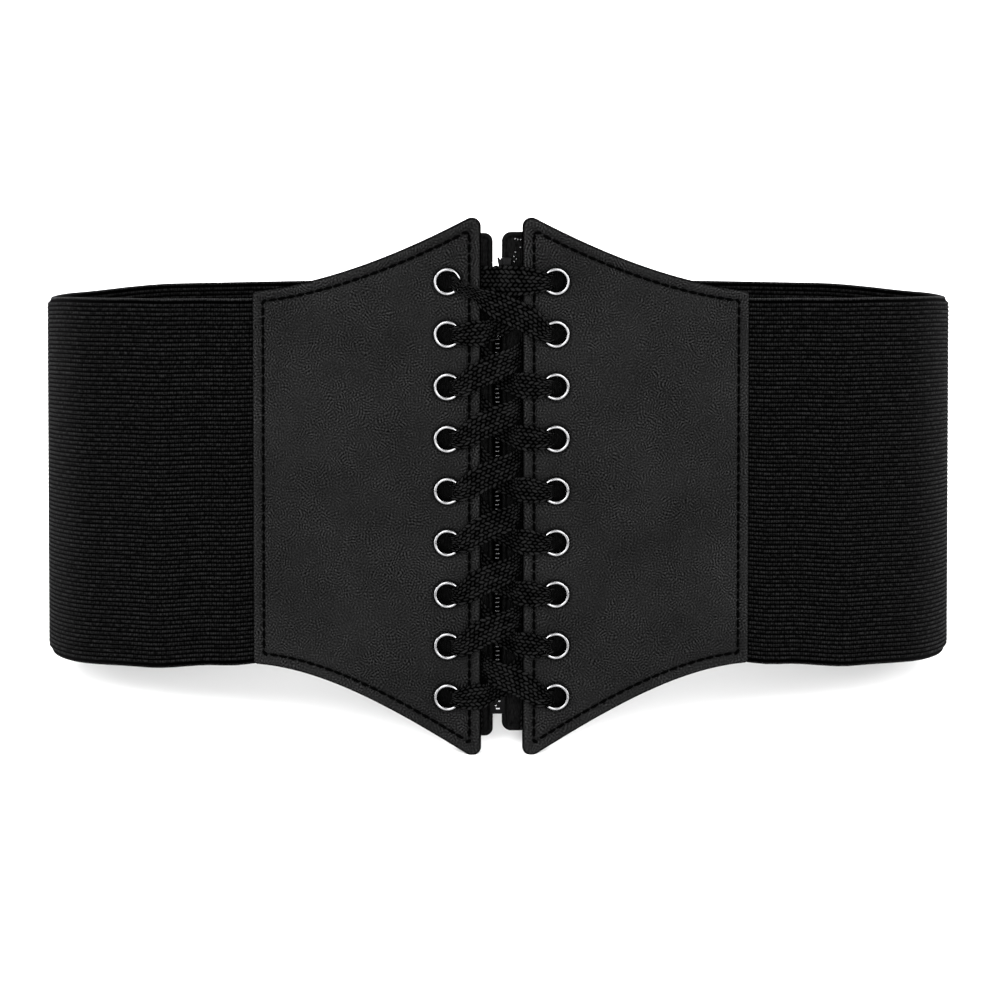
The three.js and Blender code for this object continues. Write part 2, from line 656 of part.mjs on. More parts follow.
// Two plates in front of and behind the corded edges, joined by a bridge between them
function clasp(front, bottom, top, half) {
  const back = PLACKET_LEVEL - PLACKET_CORD / 2 - CLEARANCE;
  const bridgeHalf = ZIP_HALF_GAP - CLEARANCE;
  const plate = block(
    { u: ZIP_CENTRE - half, n: back - PLATE_THICKNESS, z: bottom },
    { u: ZIP_CENTRE + half, n: back, z: top },
  );
  const bridge = block(
    { u: ZIP_CENTRE - bridgeHalf, n: back - PLATE_THICKNESS / 2, z: bottom + BRIDGE_INSET },
    { u: ZIP_CENTRE + bridgeHalf, n: PLATE_LEVEL + PLATE_THICKNESS / 2, z: top - BRIDGE_INSET },
  );
  return fromSolid(solid(front).add(solid(bridge)).add(solid(plate)));
}

// A flat plate in front of the corded edges from its outline, drawn from the middle of the zip
function frontPlate(outline) {
  const plate = new THREE.ExtrudeGeometry(outline, { depth: PLATE_THICKNESS, bevelEnabled: false });
  plate.rotateX(Math.PI / 2);
  return plate.translate(ZIP_CENTRE, -FRONT_DEPTH - PLATE_LEVEL, 0);
}

// The slider with its lug and its pull, which hangs trapped behind the lace
function zipSlider() {
  const [neck, width, narrow] = [PULL.neck / 2, PULL.width / 2, SLIDER.half * SLIDER.taper];
  const shoulder = SLIDER_BOTTOM - PULL.neckLength;
  const round = SLIDER_BOTTOM - PULL.length + width;
  const outline = new THREE.Shape();
  outline.moveTo(-narrow, SLIDER_BOTTOM);
  outline.lineTo(-neck, SLIDER_BOTTOM);
  outline.lineTo(-neck, shoulder);
  outline.lineTo(-width, shoulder - neck);
  outline.lineTo(-width, round);
  outline.absarc(0, round, width, Math.PI, 2 * Math.PI, false);
  outline.lineTo(width, shoulder - neck);
  outline.lineTo(neck, shoulder);
  outline.lineTo(neck, SLIDER_BOTTOM);
  outline.lineTo(narrow, SLIDER_BOTTOM);
  outline.lineTo(SLIDER.half, SLIDER_TOP);
  outline.lineTo(LUG.right, SLIDER_TOP);
  outline.lineTo(LUG.right, SLIDER_TOP + LUG.height);
  outline.lineTo(LUG.left, SLIDER_TOP + LUG.height);
  outline.lineTo(LUG.left, SLIDER_TOP);
  outline.lineTo(-SLIDER.half, SLIDER_TOP);
  return clasp(frontPlate(outline), SLIDER_BOTTOM, SLIDER_TOP, SLIDER.half);
}

// The retaining box at the bottom of the zip
function zipBox() {
  const outline = new THREE.Shape();
  outline.moveTo(-BOX.half, BOX_BOTTOM);
  outline.lineTo(BOX.half, BOX_BOTTOM);
  outline.lineTo(BOX.half, BOX_TOP);
  outline.lineTo(-BOX.half, BOX_TOP);
  return clasp(frontPlate(outline), BOX_BOTTOM, BOX_TOP, BOX.half);
}

for (const side of SIDES) {
  add(`panel_${side.name}`, panel(side.way), LEATHER);
  for (let row = 1; row <= EYELET_ROWS; row += 1) {
    add(`eyelet_${side.letter}${row}`, eyelet(side.way, row), NICKEL);
  }
  add(`placket_${side.name}`, placket(side), TAPE);
}
add('lace', lace(), BRAID);
add('elastic_band', elasticBand(), ELASTIC);
add('zip_chain', zipChain(), BLACK_NICKEL);
add('zip_slider', zipSlider(), BLACK_NICKEL);
add('zip_box', zipBox(), BLACK_NICKEL);

// The belt leans back until its two points and its rear hem stand level. The origin is on the surface
// on which it stands, under the middle of the whole
const stand = new THREE.Group();
belt.rotation.x = -REST.lean;
belt.position.z = REST.lift;
stand.add(belt);
stand.updateMatrixWorld(true);
stand.position.y = -new THREE.Box3().setFromObject(stand, true).getCenter(new THREE.Vector3()).y;

export default stand;
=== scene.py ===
# %% [markdown]
# # A corset belt: leather panels, a braided lace and ribbed elastic
#
# The belt closes round the waist. Its front is two pointed leather panels, laced together through
# eyelets over a zip, and its back is one wide band of ribbed elastic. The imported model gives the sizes
# and the places of all pieces, and this lesson dresses it: each piece is built again in finer detail
# where the plain one stands, and gets a finish made of nodes.

import math

import bmesh
import bpy
import numpy as np
from mathutils import Matrix, Vector
from mathutils.geometry import delaunay_2d_cdt


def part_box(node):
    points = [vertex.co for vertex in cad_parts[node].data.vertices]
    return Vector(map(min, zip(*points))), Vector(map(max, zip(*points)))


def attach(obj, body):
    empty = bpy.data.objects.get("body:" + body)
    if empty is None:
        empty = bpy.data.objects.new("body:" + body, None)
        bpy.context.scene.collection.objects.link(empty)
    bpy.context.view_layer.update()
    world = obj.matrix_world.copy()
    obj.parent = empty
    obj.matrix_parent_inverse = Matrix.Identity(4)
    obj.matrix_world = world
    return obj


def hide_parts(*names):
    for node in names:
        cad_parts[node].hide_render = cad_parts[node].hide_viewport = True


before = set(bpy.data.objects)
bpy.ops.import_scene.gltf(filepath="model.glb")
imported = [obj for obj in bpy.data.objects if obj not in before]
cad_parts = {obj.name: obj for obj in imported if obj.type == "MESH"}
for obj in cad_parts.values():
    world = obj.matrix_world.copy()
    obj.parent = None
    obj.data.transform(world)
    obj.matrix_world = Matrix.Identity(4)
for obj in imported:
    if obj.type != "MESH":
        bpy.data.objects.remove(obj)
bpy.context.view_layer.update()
print("nodes of the plain model:", len(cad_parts))


def add_object(name, data):
    """A new object of the scene from a mesh, a light or a camera."""
    made = bpy.data.objects.new(name, data)
    bpy.context.scene.collection.objects.link(made)
    return made


SIDES = (("left", -1), ("right", 1))

# %% [markdown]
# ## The loop of the waist
#
# Every soft piece is drawn on one loop. A place on it has three numbers in millimetres: u runs along
# the loop from the middle of the front, z is the height and n is the distance outwards from the inner
# face of the panels. Seen from above, the loop is a shallow arc in front, a shallow arc at the back and
# a tight fold at each side. Working in these numbers keeps the lacing and the seams as simple as they
# are on a flat pattern, and one function bends them into place.

# %% The loop of the waist
MM = 0.001
HALF_WIDTH = 170.0
FRONT_DEPTH = 80.0
REAR_DEPTH = 64.0
FOLD_RADIUS = 40.0
FOLD_REACH = HALF_WIDTH - FOLD_RADIUS
FLARE = 0.00007
FLARE_FROM = 70.2


def arc_radius(depth):
    return (FOLD_REACH**2 + depth**2 - FOLD_RADIUS**2) / (2 * (depth - FOLD_RADIUS))


FRONT_RADIUS = arc_radius(FRONT_DEPTH)
REAR_RADIUS = arc_radius(REAR_DEPTH)
FRONT_TURN = math.asin(FOLD_REACH / (FRONT_RADIUS - FOLD_RADIUS))
REAR_TURN = math.asin(FOLD_REACH / (REAR_RADIUS - FOLD_RADIUS))
FRONT_END = FRONT_RADIUS * FRONT_TURN
FOLD_END = FRONT_END + FOLD_RADIUS * (math.pi - FRONT_TURN - REAR_TURN)
HALF_LOOP = FOLD_END + REAR_RADIUS * REAR_TURN


def place(u, z, n):
    """Points of the upright belt, in millimetres, from their numbers on the loop."""
    u, z, n = (np.asarray(value, float) for value in np.broadcast_arrays(u, z, n))
    run = np.abs(u)
    front = run <= FRONT_END
    rear = run > FOLD_END
    radius = np.select([front, rear], [FRONT_RADIUS, REAR_RADIUS], FOLD_RADIUS) + n
    fold_turn = FRONT_TURN + (run - FRONT_END) / FOLD_RADIUS
    rear_turn = math.pi - (HALF_LOOP - run) / REAR_RADIUS
    turn = np.select([front, rear], [run / FRONT_RADIUS, rear_turn], fold_turn)
    centre_x = np.select([front, rear], [0.0, 0.0], FOLD_REACH)
    centre_y = np.select([front, rear], [FRONT_RADIUS - FRONT_DEPTH, REAR_DEPTH - REAR_RADIUS], 0.0)
    x = np.where(u < 0, -1.0, 1.0) * (centre_x + radius * np.sin(turn)) * (1 + FLARE * (FLARE_FROM - z))
    return np.stack([x, centre_y - radius * np.cos(turn), z], axis=-1)


print(f"half of the loop is {HALF_LOOP:.1f} mm")

# %% [markdown]
# ## The way it stands
#
# The belt rests on the lower points of its two panels and on the hem at its back, so it leans back a
# little. Leather and elastic flatten where they touch the floor.

# %% The way it stands
LEAN = math.radians(10.3419)
LIFT = 79.0228
SHIFT = 11.5575


def lean(points):
    """Turns directions of the upright belt into directions of the one that stands."""
    x, y, z = np.moveaxis(np.asarray(points, float), -1, 0)
    cos, sin = math.cos(LEAN), math.sin(LEAN)
    return np.stack([x, y * cos + z * sin, z * cos - y * sin], axis=-1)


def stand(points):
    """Points of the upright belt, in millimetres, where they are on the floor, in metres."""
    standing = (lean(points) + np.array([0.0, SHIFT, LIFT])) * MM
    standing[..., 2] = np.maximum(standing[..., 2], 0.0)
    return standing


def outwards(u):
    """The direction out of the belt at u."""
    return lean(place(u, 0.0, 1.0) - place(u, 0.0, 0.0))


eyelet_low, eyelet_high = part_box("eyelet_r5")
print("eyelet of the plain model:", [round(1000 * c, 1) for c in (eyelet_low + eyelet_high) / 2])
print("the same place on the loop:", np.round(1000 * stand(place(19.0, 0.0, 1.25)), 1))

# %% [markdown]
# ## The camera
#
# The photograph was taken from in front, a little above the belt and a hair to its left, through a
# long lens. Its height and its aim are given on the upright belt, and lean back with it, so the same
# numbers would fit a belt on a shelf.

# %% The camera
AIM = (-0.57, -80.0, -3.4)
CAMERA_AWAY = 1150.0
CAMERA_TURN = math.radians(-0.76)
CAMERA_RISE = math.radians(7.25)
PIXELS_WIDE = 1000
FOCAL_PIXELS = 3237
SENSOR = 36.0

back_flat = np.array([math.sin(CAMERA_TURN), -math.cos(CAMERA_TURN), 0.0])
back = back_flat * math.cos(CAMERA_RISE) + np.array([0.0, 0.0, math.sin(CAMERA_RISE)])
right = np.array([math.cos(CAMERA_TURN), math.sin(CAMERA_TURN), 0.0])
camera_axes = [lean(axis) for axis in (right, np.cross(back, right), back)]

camera_data = bpy.data.cameras.new("camera")
camera_data.sensor_width = SENSOR
camera_data.lens = SENSOR * FOCAL_PIXELS / PIXELS_WIDE
camera = add_object("camera", camera_data)
turned = Matrix([list(row) for row in np.array(camera_axes).T]).to_4x4()
turned.translation = Vector(stand(np.array(AIM) + back * CAMERA_AWAY))
camera.matrix_world = turned
bpy.context.scene.camera = camera
print("camera at", [round(c, 3) for c in camera.location])

# %% [markdown]
# ## Helpers for meshes and nodes
#
# One helper turns lists of points and faces into an object with smooth shading. The others build node
# trees: the output of a node is held as a wire, wires add and multiply like numbers, so a chain of maths
# nodes reads as a formula, and plugging a wire or a value into a node takes one dictionary. The last one
# runs a Geometry Nodes tree and keeps what it made as a plain mesh.

# %% Helpers for meshes
def mesh_piece(name, points, faces, material=None, uv=None):
    """A smooth mesh object from points in metres. uv gives each point its place on a flat pattern."""
    mesh = bpy.data.meshes.new(name)
    mesh.from_pydata([tuple(p) for p in np.asarray(points).reshape(-1, 3)], [], [tuple(f) for f in faces])
    mesh.shade_smooth()
    if uv is not None:
        layer = mesh.uv_layers.new(name="cut")
        corners = np.zeros(len(mesh.loops), int)
        mesh.loops.foreach_get("vertex_index", corners)
        flat = np.asarray(uv, np.float32).reshape(-1, 2)
        layer.uv.foreach_set("vector", flat[corners].ravel())
    if material:
        mesh.materials.append(material)
    mesh.validate()
    return add_object(name, mesh)


def grid_faces(rows, columns, closed=False):
    """Quads between neighbouring rows of points, whose last column meets the first if closed."""
    faces = []
    for i in range(rows - 1):
        for j in range(columns if closed else columns - 1):
            k = (j + 1) % columns
            faces.append((i * columns + j, (i + 1) * columns + j, (i + 1) * columns + k, i * columns + k))
    return faces


# %% Helpers for nodes
class Wire:
    """An output of a node that adds, multiplies and compares like a number."""

    def __init__(self, socket):
        self.socket = socket

    def maths(self, operation, *others):
        return maths(self.socket.id_data, operation, self, *others)

    def __add__(self, other):
        return self.maths("ADD", other)

    def __sub__(self, other):
        return self.maths("SUBTRACT", other)

    def __rsub__(self, other):
        return maths(self.socket.id_data, "SUBTRACT", other, self)

    def __mul__(self, other):
        return self.maths("MULTIPLY", other)

    def __truediv__(self, other):
        return self.maths("DIVIDE", other)

    def __gt__(self, other):
        return self.maths("GREATER_THAN", other)

    def __lt__(self, other):
        return self.maths("LESS_THAN", other)

    def __abs__(self):
        return self.maths("ABSOLUTE")


def plug(node, inputs):
    """Fills a node's inputs, named or numbered, with wires or values."""
    for key, value in inputs.items():
        if isinstance(value, Wire):
            node.id_data.links.new(value.socket, node.inputs[key])
        else:
            node.inputs[key].default_value = value


def add_node(tree, kind, inputs=None, **settings):
    node = tree.nodes.new(kind)
    for name, value in settings.items():
        setattr(node, name, value)
    plug(node, inputs or {})
    return node


def wire(tree, kind, inputs=None, output=0, **settings):
    """Adds a node and returns one of its outputs."""
    return Wire(add_node(tree, kind, inputs, **settings).outputs[output])


def maths(tree, operation, *values):
    return wire(tree, "ShaderNodeMath", dict(enumerate(values)), operation=operation)


def vector(tree, x=0.0, y=0.0, z=0.0):
    return wire(tree, "ShaderNodeCombineXYZ", {"X": x, "Y": y, "Z": z})


def parts_of(tree, value):
    """The three numbers of a vector."""
    return [Wire(socket) for socket in add_node(tree, "ShaderNodeSeparateXYZ", {0: value}).outputs]


def position(tree):
    return wire(tree, "GeometryNodeInputPosition")


def kept_at_points(tree, name, kind="FLOAT_VECTOR"):
    """A value that a mesh keeps at each point."""
    return wire(tree, "GeometryNodeInputNamedAttribute", {"Name": name}, data_type=kind)


def new_tree(kind, name, inputs, outputs):
    """A node group with named inputs and outputs. An input is (name, kind, value)."""
    tree = bpy.data.node_groups.new(name, kind)
    for label, socket_kind, value in inputs:
        socket = tree.interface.new_socket(label, in_out="INPUT", socket_type="NodeSocket" + socket_kind)
        if value is not None:
            socket.default_value = value
    for label, socket_kind in outputs:
        tree.interface.new_socket(label, in_out="OUTPUT", socket_type="NodeSocket" + socket_kind)
    given = tree.nodes.new("NodeGroupInput").outputs
    return tree, {label: Wire(given[label]) for label, _, _ in inputs}, tree.nodes.new("NodeGroupOutput")


def end_tree(tree, given, result, made):
    """Gives what a tree made its material and hands it out."""
    made = wire(tree, "GeometryNodeSetMaterial", {"Geometry": made, "Material": given["Material"]})
    plug(result, {"Geometry": made})
    return tree


def grow(name, tree, source, settings, material):
    """Runs a Geometry Nodes tree on a source object and keeps the result as a plain mesh piece."""
    modifier = source.modifiers.new("grow", "NODES")
    modifier.node_group = tree
    sockets = {item.name: item for item in tree.interface.items_tree if item.in_out == "INPUT"}
    for label, value in {**settings, "Material": material}.items():
        modifier[sockets[label].identifier] = value
    now = bpy.context.evaluated_depsgraph_get()
    made = source.evaluated_get(now)
    mesh = bpy.data.meshes.new_from_object(made, preserve_all_data_layers=True, depsgraph=now)
    mesh.name = name
    source.modifiers.remove(modifier)
    bpy.data.objects.remove(source)
    mesh.shade_smooth()
    if material.name not in [m.name for m in mesh.materials if m]:
        mesh.materials.append(material)
    piece = add_object(name, mesh)
    print(f"{name}: {len(mesh.polygons)} faces")
    return piece


# %% [markdown]
# ## Wrapping a flat pattern onto the belt
#
# Ribs, braid and stitches repeat, and they are easy to lay out flat. A guide is a smooth sheet of the
# belt with a flat map on it. This tree takes something laid out flat, looks up each of its points on
# the guide's map, and lifts it off the guide by its height. It stays a group of its own because both
# the elastic and the lace use it.

# %% The wrapping tree
def wrapping_tree():
    tree, given, result = new_tree(
        "GeometryNodeTree", "wrap on guide",
        inputs=[("Geometry", "Geometry", None), ("Guide", "Object", None),
                ("Length", "Float", 1.0), ("Width", "Float", 1.0)],
        outputs=[("Geometry", "Geometry")])
    guide = wire(tree, "GeometryNodeObjectInfo", {"Object": given["Guide"]}, "Geometry")
    along, up, height = parts_of(tree, position(tree))
    look_up = {"Mesh": guide, "Source UV Map": kept_at_points(tree, "cut"),
               "Sample UV": vector(tree, along / given["Length"], up / given["Width"])}
    found, out = (
        wire(tree, "GeometryNodeSampleUVSurface", {**look_up, "Value": value}, data_type="FLOAT_VECTOR")
        for value in (position(tree), kept_at_points(tree, "out")))
    lift = wire(tree, "ShaderNodeVectorMath", {0: out, "Scale": height}, operation="SCALE")
    moved = wire(tree, "ShaderNodeVectorMath", {0: found, 1: lift}, operation="ADD")
    placed = wire(tree, "GeometryNodeSetPosition", {"Geometry": given["Geometry"], "Position": moved})
    plug(result, {"Geometry": placed})
    return tree


def guide_piece(name, points, out, uv):
    """A sheet of rows of points with a flat map, and the direction off the sheet at each point."""
    rows, columns = points.shape[:2]
    guide = mesh_piece(name, points, grid_faces(rows, columns), uv=uv)
    attribute = guide.data.attributes.new("out", "FLOAT_VECTOR", "POINT")
    attribute.data.foreach_set("vector", np.asarray(out, np.float32).ravel())
    return guide


WRAP = wrapping_tree()
print("the wrapping tree has", len(WRAP.nodes), "nodes")

# %% [markdown]
# ## Finishes: effects that several materials share
#
# Dark goods look alike until one looks closely: then dye has taken unevenly and threads show their
# fibres. Each of these two is one shader node group with named inputs, placed in every material that
# needs it with values of its own. Creases, beads and marks on metal belong to one material each.

# %% Shared effects
def noise(tree, spot, scale, detail=2.0, roughness=0.5, output="Fac"):
    return wire(tree, "ShaderNodeTexNoise", {
        "Vector": spot, "Scale": scale, "Detail": detail, "Roughness": roughness}, output)


def remap(tree, value, low, high, to_low=0.0, to_high=1.0):
    return wire(tree, "ShaderNodeMapRange", {
        "Value": value, "From Min": low, "From Max": high, "To Min": to_low, "To Max": to_high})


def mix_colours(tree, share, dark, light):
    return wire(tree, "ShaderNodeMix", {0: share, 6: dark, 7: light}, 2, data_type="RGBA")


def uneven_tone_group():
    """Slow drifts between two colours, as dye and handling leave them."""
    tree, given, result = new_tree(
        "ShaderNodeTree", "uneven tone",
        inputs=[("Vector", "Vector", None), ("Scale", "Float", 30.0),
                ("Dark", "Color", (0.0, 0.0, 0.0, 1.0)), ("Light", "Color", (1.0, 1.0, 1.0, 1.0))],
        outputs=[("Color", "Color"), ("Mask", "Float")])
    mask = remap(tree, noise(tree, given["Vector"], given["Scale"], detail=4.0, roughness=0.6), 0.3, 0.7)
    plug(result, {"Mask": mask, "Color": mix_colours(tree, mask, given["Dark"], given["Light"])})
    return tree


def fibres_group():
    """Fine yarn that runs along the first axis of a flat map, twisted a little."""
    tree, given, result = new_tree(
        "ShaderNodeTree", "yarn fibres",
        inputs=[("Vector", "Vector", None), ("Along", "Float", 900.0), ("Across", "Float", 5000.0)],
        outputs=[("Height", "Float")])
    spread = vector(tree, given["Along"], given["Across"], given["Across"])
    stretched = wire(tree, "ShaderNodeVectorMath", {0: given["Vector"], 1: spread}, operation="MULTIPLY")
    plug(result, {"Height": noise(tree, stretched, 1.0, detail=3.0, roughness=0.6)})
    return tree


UNEVEN_TONE = uneven_tone_group()
YARN_FIBRES = fibres_group()


def uneven_tone(tree, spot, scale, dark, light):
    """The colour and the mask of the shared uneven tone, between two greys."""
    made = add_node(tree, "ShaderNodeGroup", {
        "Vector": spot, "Scale": scale, "Dark": grey(dark), "Light": grey(light)}, node_tree=UNEVEN_TONE)
    return Wire(made.outputs["Color"]), Wire(made.outputs["Mask"])


def yarn_fibres(tree, spot, along, across):
    return wire(tree, "ShaderNodeGroup", {"Vector": spot, "Along": along, "Across": across},
                "Height", node_tree=YARN_FIBRES)


def kept_map(tree, name):
    """A flat map that a mesh keeps."""
    return wire(tree, "ShaderNodeUVMap", uv_map=name)


def kept_value(tree, name):
    """A number that a mesh keeps at each point."""
    return wire(tree, "ShaderNodeAttribute", output="Fac", attribute_name=name)


def new_material(name, **settings):
    """A material with its Principled BSDF and its Object coordinates. Settings go on named sockets."""
    material = bpy.data.materials.new(name)
    material.use_nodes = True
    tree = material.node_tree
    surface = tree.nodes["Principled BSDF"]
    plug(surface, {label.replace("_", " "): value for label, value in settings.items()})
    return material, tree, surface, wire(tree, "ShaderNodeTexCoord", output="Object")


def raise_surface(surface, height, distance, strength=1.0):
    bump = wire(surface.id_data, "ShaderNodeBump", {
        "Height": height, "Distance": distance, "Strength": strength})
    plug(surface, {"Normal": bump})


def grey(value):
    return (value, value, value * 1.02, 1.0)


# %% [markdown]
# ## Leather
#
# The panels are a soft, matt, near-black leather. Its grain is made of short hair-fine creases that lie
# side by side in small patches, each patch turned its own way, like a fingerprint. A Gabor texture draws
# just that, and a slow noise bends its map so that the creases curl. A fine noise breaks them up and a
# coarse one lets them fade in places. The crests are a little lighter and smoother than the creases, as
# on worn leather. An attribute of the panel holds painted shade in its seam's groove, round its eyelets
# and at its cut, and a painted highlight just inside the cut.

# %% Leather
CREASE_PATCHES = 330.0
CREASE_COUNT = 2.9
CREASE_SWIRL = 0.0016


def leather_material():
    material, tree, surface, spot = new_material("leather")
    swirl = noise(tree, spot, 260.0, detail=1.0, output="Color")
    swirl = wire(tree, "ShaderNodeVectorMath", {0: swirl, "Scale": CREASE_SWIRL}, operation="SCALE")
    bent = wire(tree, "ShaderNodeVectorMath", {0: kept_map(tree, "cut"), 1: swirl}, operation="ADD")
    creases = wire(tree, "ShaderNodeTexGabor", {
        "Vector": bent, "Scale": CREASE_PATCHES, "Frequency": CREASE_COUNT, "Anisotropy": 0.0},
        "Value", gabor_type="2D")
    fine = noise(tree, spot, 1900.0, detail=3.0, roughness=0.65)
    fading = remap(tree, noise(tree, spot, 75.0, detail=3.0), 0.35, 0.6, 0.45, 1.0)
    lines = (creases - 0.5) * fading * remap(tree, fine, 0.35, 0.6, 0.45, 1.15)
    height = lines + fine * 0.42
    grain = remap(tree, height, -0.06, 0.42).maths("POWER", 1.6)
    # The panel's attribute is painted light and shade: painted shade in the groove, round the eyelets and at
    # the cut, and a painted highlight beside the cut, on both colour and specular
    painted_shade = kept_value(tree, "painted_shade")
    tone, drift = uneven_tone(tree, spot, 45.0, 0.0042, 0.0082)
    colour = mix_colours(tree, grain, grey(0.0008), tone)
    lit = remap(tree, grain, 0.0, 1.0, 0.004, 0.2) * painted_shade * remap(tree, drift, 0.0, 1.0, 0.85, 1.1)
    plug(surface, {
        "Base Color": mix_colours(tree, painted_shade, grey(0.0001), colour),
        "Specular IOR Level": lit,
        "Roughness": remap(tree, grain, 0.0, 1.0, 0.75, 0.5)})
    raise_surface(surface, height, 0.00018)
    return material


LEATHER = leather_material()

# %% [markdown]
# ## The panels
#
# Each panel is cut to a point at the top and at the bottom beside the lacing, and runs level at its
# outer side. Its rim is turned in and stitched down, so the rim stands up as a soft roll with a groove
# inside it where the thread pulls the leather down. The panel is made by laying points on the flat
# pattern, closest together where the relief is, joining them into triangles, and then giving every
# point its height from its distance to the rim and to the eyelets.

# %% The outline of a panel
CLEARANCE = 0.3
PANEL_THICKNESS = 2.2
GAP_HALF = 7.25
PANEL_WIDTH = 82.5
OUTER_TOP = 70.2
OUTER_BOTTOM = -64.6
POINT_RISE = 28.7
POINT_DROP = 33.6
POINT_RADIUS = 3.2
OUTER_CORNER = 1.6
RISE_THIRDS = (0.10, 0.483)
DROP_THIRDS = (0.0, 0.472)
OUTLINE_STEP = 0.9


def panel_edge(u, way):
    """Height of a panel's top (way 1) or bottom (way -1) edge at u."""
    above = OUTER_TOP, POINT_RISE, RISE_THIRDS
    below = -OUTER_BOTTOM, POINT_DROP, DROP_THIRDS
    outer, reach, thirds = above if way > 0 else below
    from_point = np.asarray(u, float) - GAP_HALF
    from_outer = PANEL_WIDTH - from_point
    t = from_outer / PANEL_WIDTH
    height = outer + reach * (3 * (1 - t) ** 2 * t * thirds[0] + 3 * (1 - t) * t * t * thirds[1] + t**3)
    slope = 3 * reach * (1 - thirds[1]) / PANEL_WIDTH
    slant = math.hypot(1, slope)
    centre = outer + reach - POINT_RADIUS * (slope + slant)
    rounded = centre + np.sqrt(np.maximum(POINT_RADIUS**2 - (from_point - POINT_RADIUS) ** 2, 0.0))
    height = np.where(from_point < POINT_RADIUS * (1 + slope / slant), rounded, height)
    inset = np.clip(OUTER_CORNER - from_outer, 0, OUTER_CORNER)
    return way * (height - OUTER_CORNER + np.sqrt(OUTER_CORNER**2 - inset**2))


def even_steps(points, step, closed=True):
    """Points at even steps along a line of points."""
    line = np.vstack([points, points[:1]]) if closed else points
    gone = np.concatenate([[0], np.cumsum(np.linalg.norm(np.diff(line, axis=0), axis=1))])
    count = round(gone[-1] / step)
    at = np.linspace(0, gone[-1], count, endpoint=not closed)
    return np.stack([np.interp(at, gone, line[:, k]) for k in range(line.shape[1])], axis=1)


def panel_outline():
    """The right panel's outline, anticlockwise, as (u, z)."""
    turn = np.linspace(0, 1, 24) ** 2
    near = GAP_HALF + 2 * POINT_RADIUS * turn
    outer = GAP_HALF + PANEL_WIDTH
    corner = outer - OUTER_CORNER * (1 - np.sin(np.linspace(0, math.pi / 2, 8)))
    u = np.concatenate([near, np.linspace(near[-1], corner[0], 80)[1:-1], corner])
    bottom = np.stack([u, panel_edge(u, -1)], axis=1)
    top = np.stack([u, panel_edge(u, 1)], axis=1)
    return even_steps(np.vstack([bottom, top[::-1]]), OUTLINE_STEP)


def rim_distance(points, outline):
    """Distance of each point to the outline."""
    ends = np.roll(outline, -1, axis=0)
    along = ends - outline
    gap = points[:, None, :] - outline[None]
    share = np.clip((gap * along).sum(-1) / (along**2).sum(-1), 0, 1)
    return np.linalg.norm(gap - share[..., None] * along, axis=-1).min(axis=1)


def inset_line(outline, distance):
    """The outline moved inwards, without the loops this makes at sharp points."""
    ahead = np.roll(outline, -1, axis=0) - np.roll(outline, 1, axis=0)
    inwards = np.stack([-ahead[:, 1], ahead[:, 0]], axis=1) / np.linalg.norm(ahead, axis=1)[:, None]
    moved = outline + inwards * distance
    return moved[rim_distance(moved, outline) > distance - 0.03]


OUTLINE = panel_outline()
print("points round a panel:", len(OUTLINE))

# %% The relief of a panel
EYELET_ROWS = 9
EYELET_PITCH = 18.56
EYELET_REACH = 19.0
EYELET_HOLE = 4.2
EYELET_PRESS = 4.85
SEAM_INSET = 4.1
SEAM_DEPTH = 0.45
SEAM_PULL = 0.2
PRESS_DEPTH = 0.3
PRESS_REACH = 1.5
RIM_ROLL = 1.0
RIM_PLUMP = 0.2
BACK_ROLL = 0.6
LEATHER_SHADE = 0.66
BACK_SHADE = 0.6


def row_height(row):
    return EYELET_PITCH * ((EYELET_ROWS + 1) / 2 - row)


EYELET_PLACES = np.array([(EYELET_REACH, row_height(row)) for row in range(1, EYELET_ROWS + 1)])


def swell(distance, middle, reach):
    return np.exp(-(((distance - middle) / reach) ** 2))


def panel_front(rim, eyelet):
    """Height of the leather's front over its back, from the distances to the rim and to an eyelet."""
    inside = np.clip(RIM_ROLL - rim, 0, RIM_ROLL)
    roll = RIM_ROLL - np.sqrt(RIM_ROLL**2 - inside**2)
    groove = SEAM_DEPTH * swell(rim, SEAM_INSET, 0.55) + SEAM_PULL * swell(rim, SEAM_INSET, 1.6)
    press = PRESS_DEPTH * np.exp(-np.maximum(eyelet - EYELET_PRESS, 0) / PRESS_REACH)
    return PANEL_THICKNESS - roll + RIM_PLUMP * swell(rim, 1.9, 0.9) - groove - press


def painted_panel_shade(rim, eyelet):
    """Painted light and shade on the leather: painted shade in the groove, round an eyelet and at the cut,
    and a painted highlight beside the cut.
    """
    # painted shade in the seam's groove and round each eyelet; at the cut, painted shade with a painted
    # highlight just inside it
    groove = 0.4 * swell(rim, SEAM_INSET, 0.55)
    painted_eyelet_shade = 0.85 * swell(eyelet, EYELET_PRESS, 0.6)
    edge = 0.3 * swell(rim, 1.2, 0.4) - 0.75 * swell(rim, 0.0, 0.6)
    return LEATHER_SHADE * (1 - groove) * (1 - painted_eyelet_shade) + edge


# Distances from the rim, and from the seam, at which points are laid in rows
RIM_ROWS = (0.08, 0.25, 0.55, 1.0, 1.7, 2.6)
SEAM_ROWS = (-0.7, -0.35, 0.0, 0.35, 0.7, 1.5)
FIELD_INSET = SEAM_INSET + 2.5
FIELD_STEP = 1.6
FIELD_REACH = 100.0
COLLAR_RADII = (4.7, 5.3, 6.1, 7.1)
COLLAR_CLEAR = 7.7
HOLE_SIDES = 24


def eyelet_distance(points):
    """Distance of each point to the middle of the nearest eyelet."""
    return np.linalg.norm(points[:, None] - EYELET_PLACES[None], axis=-1).min(axis=1)


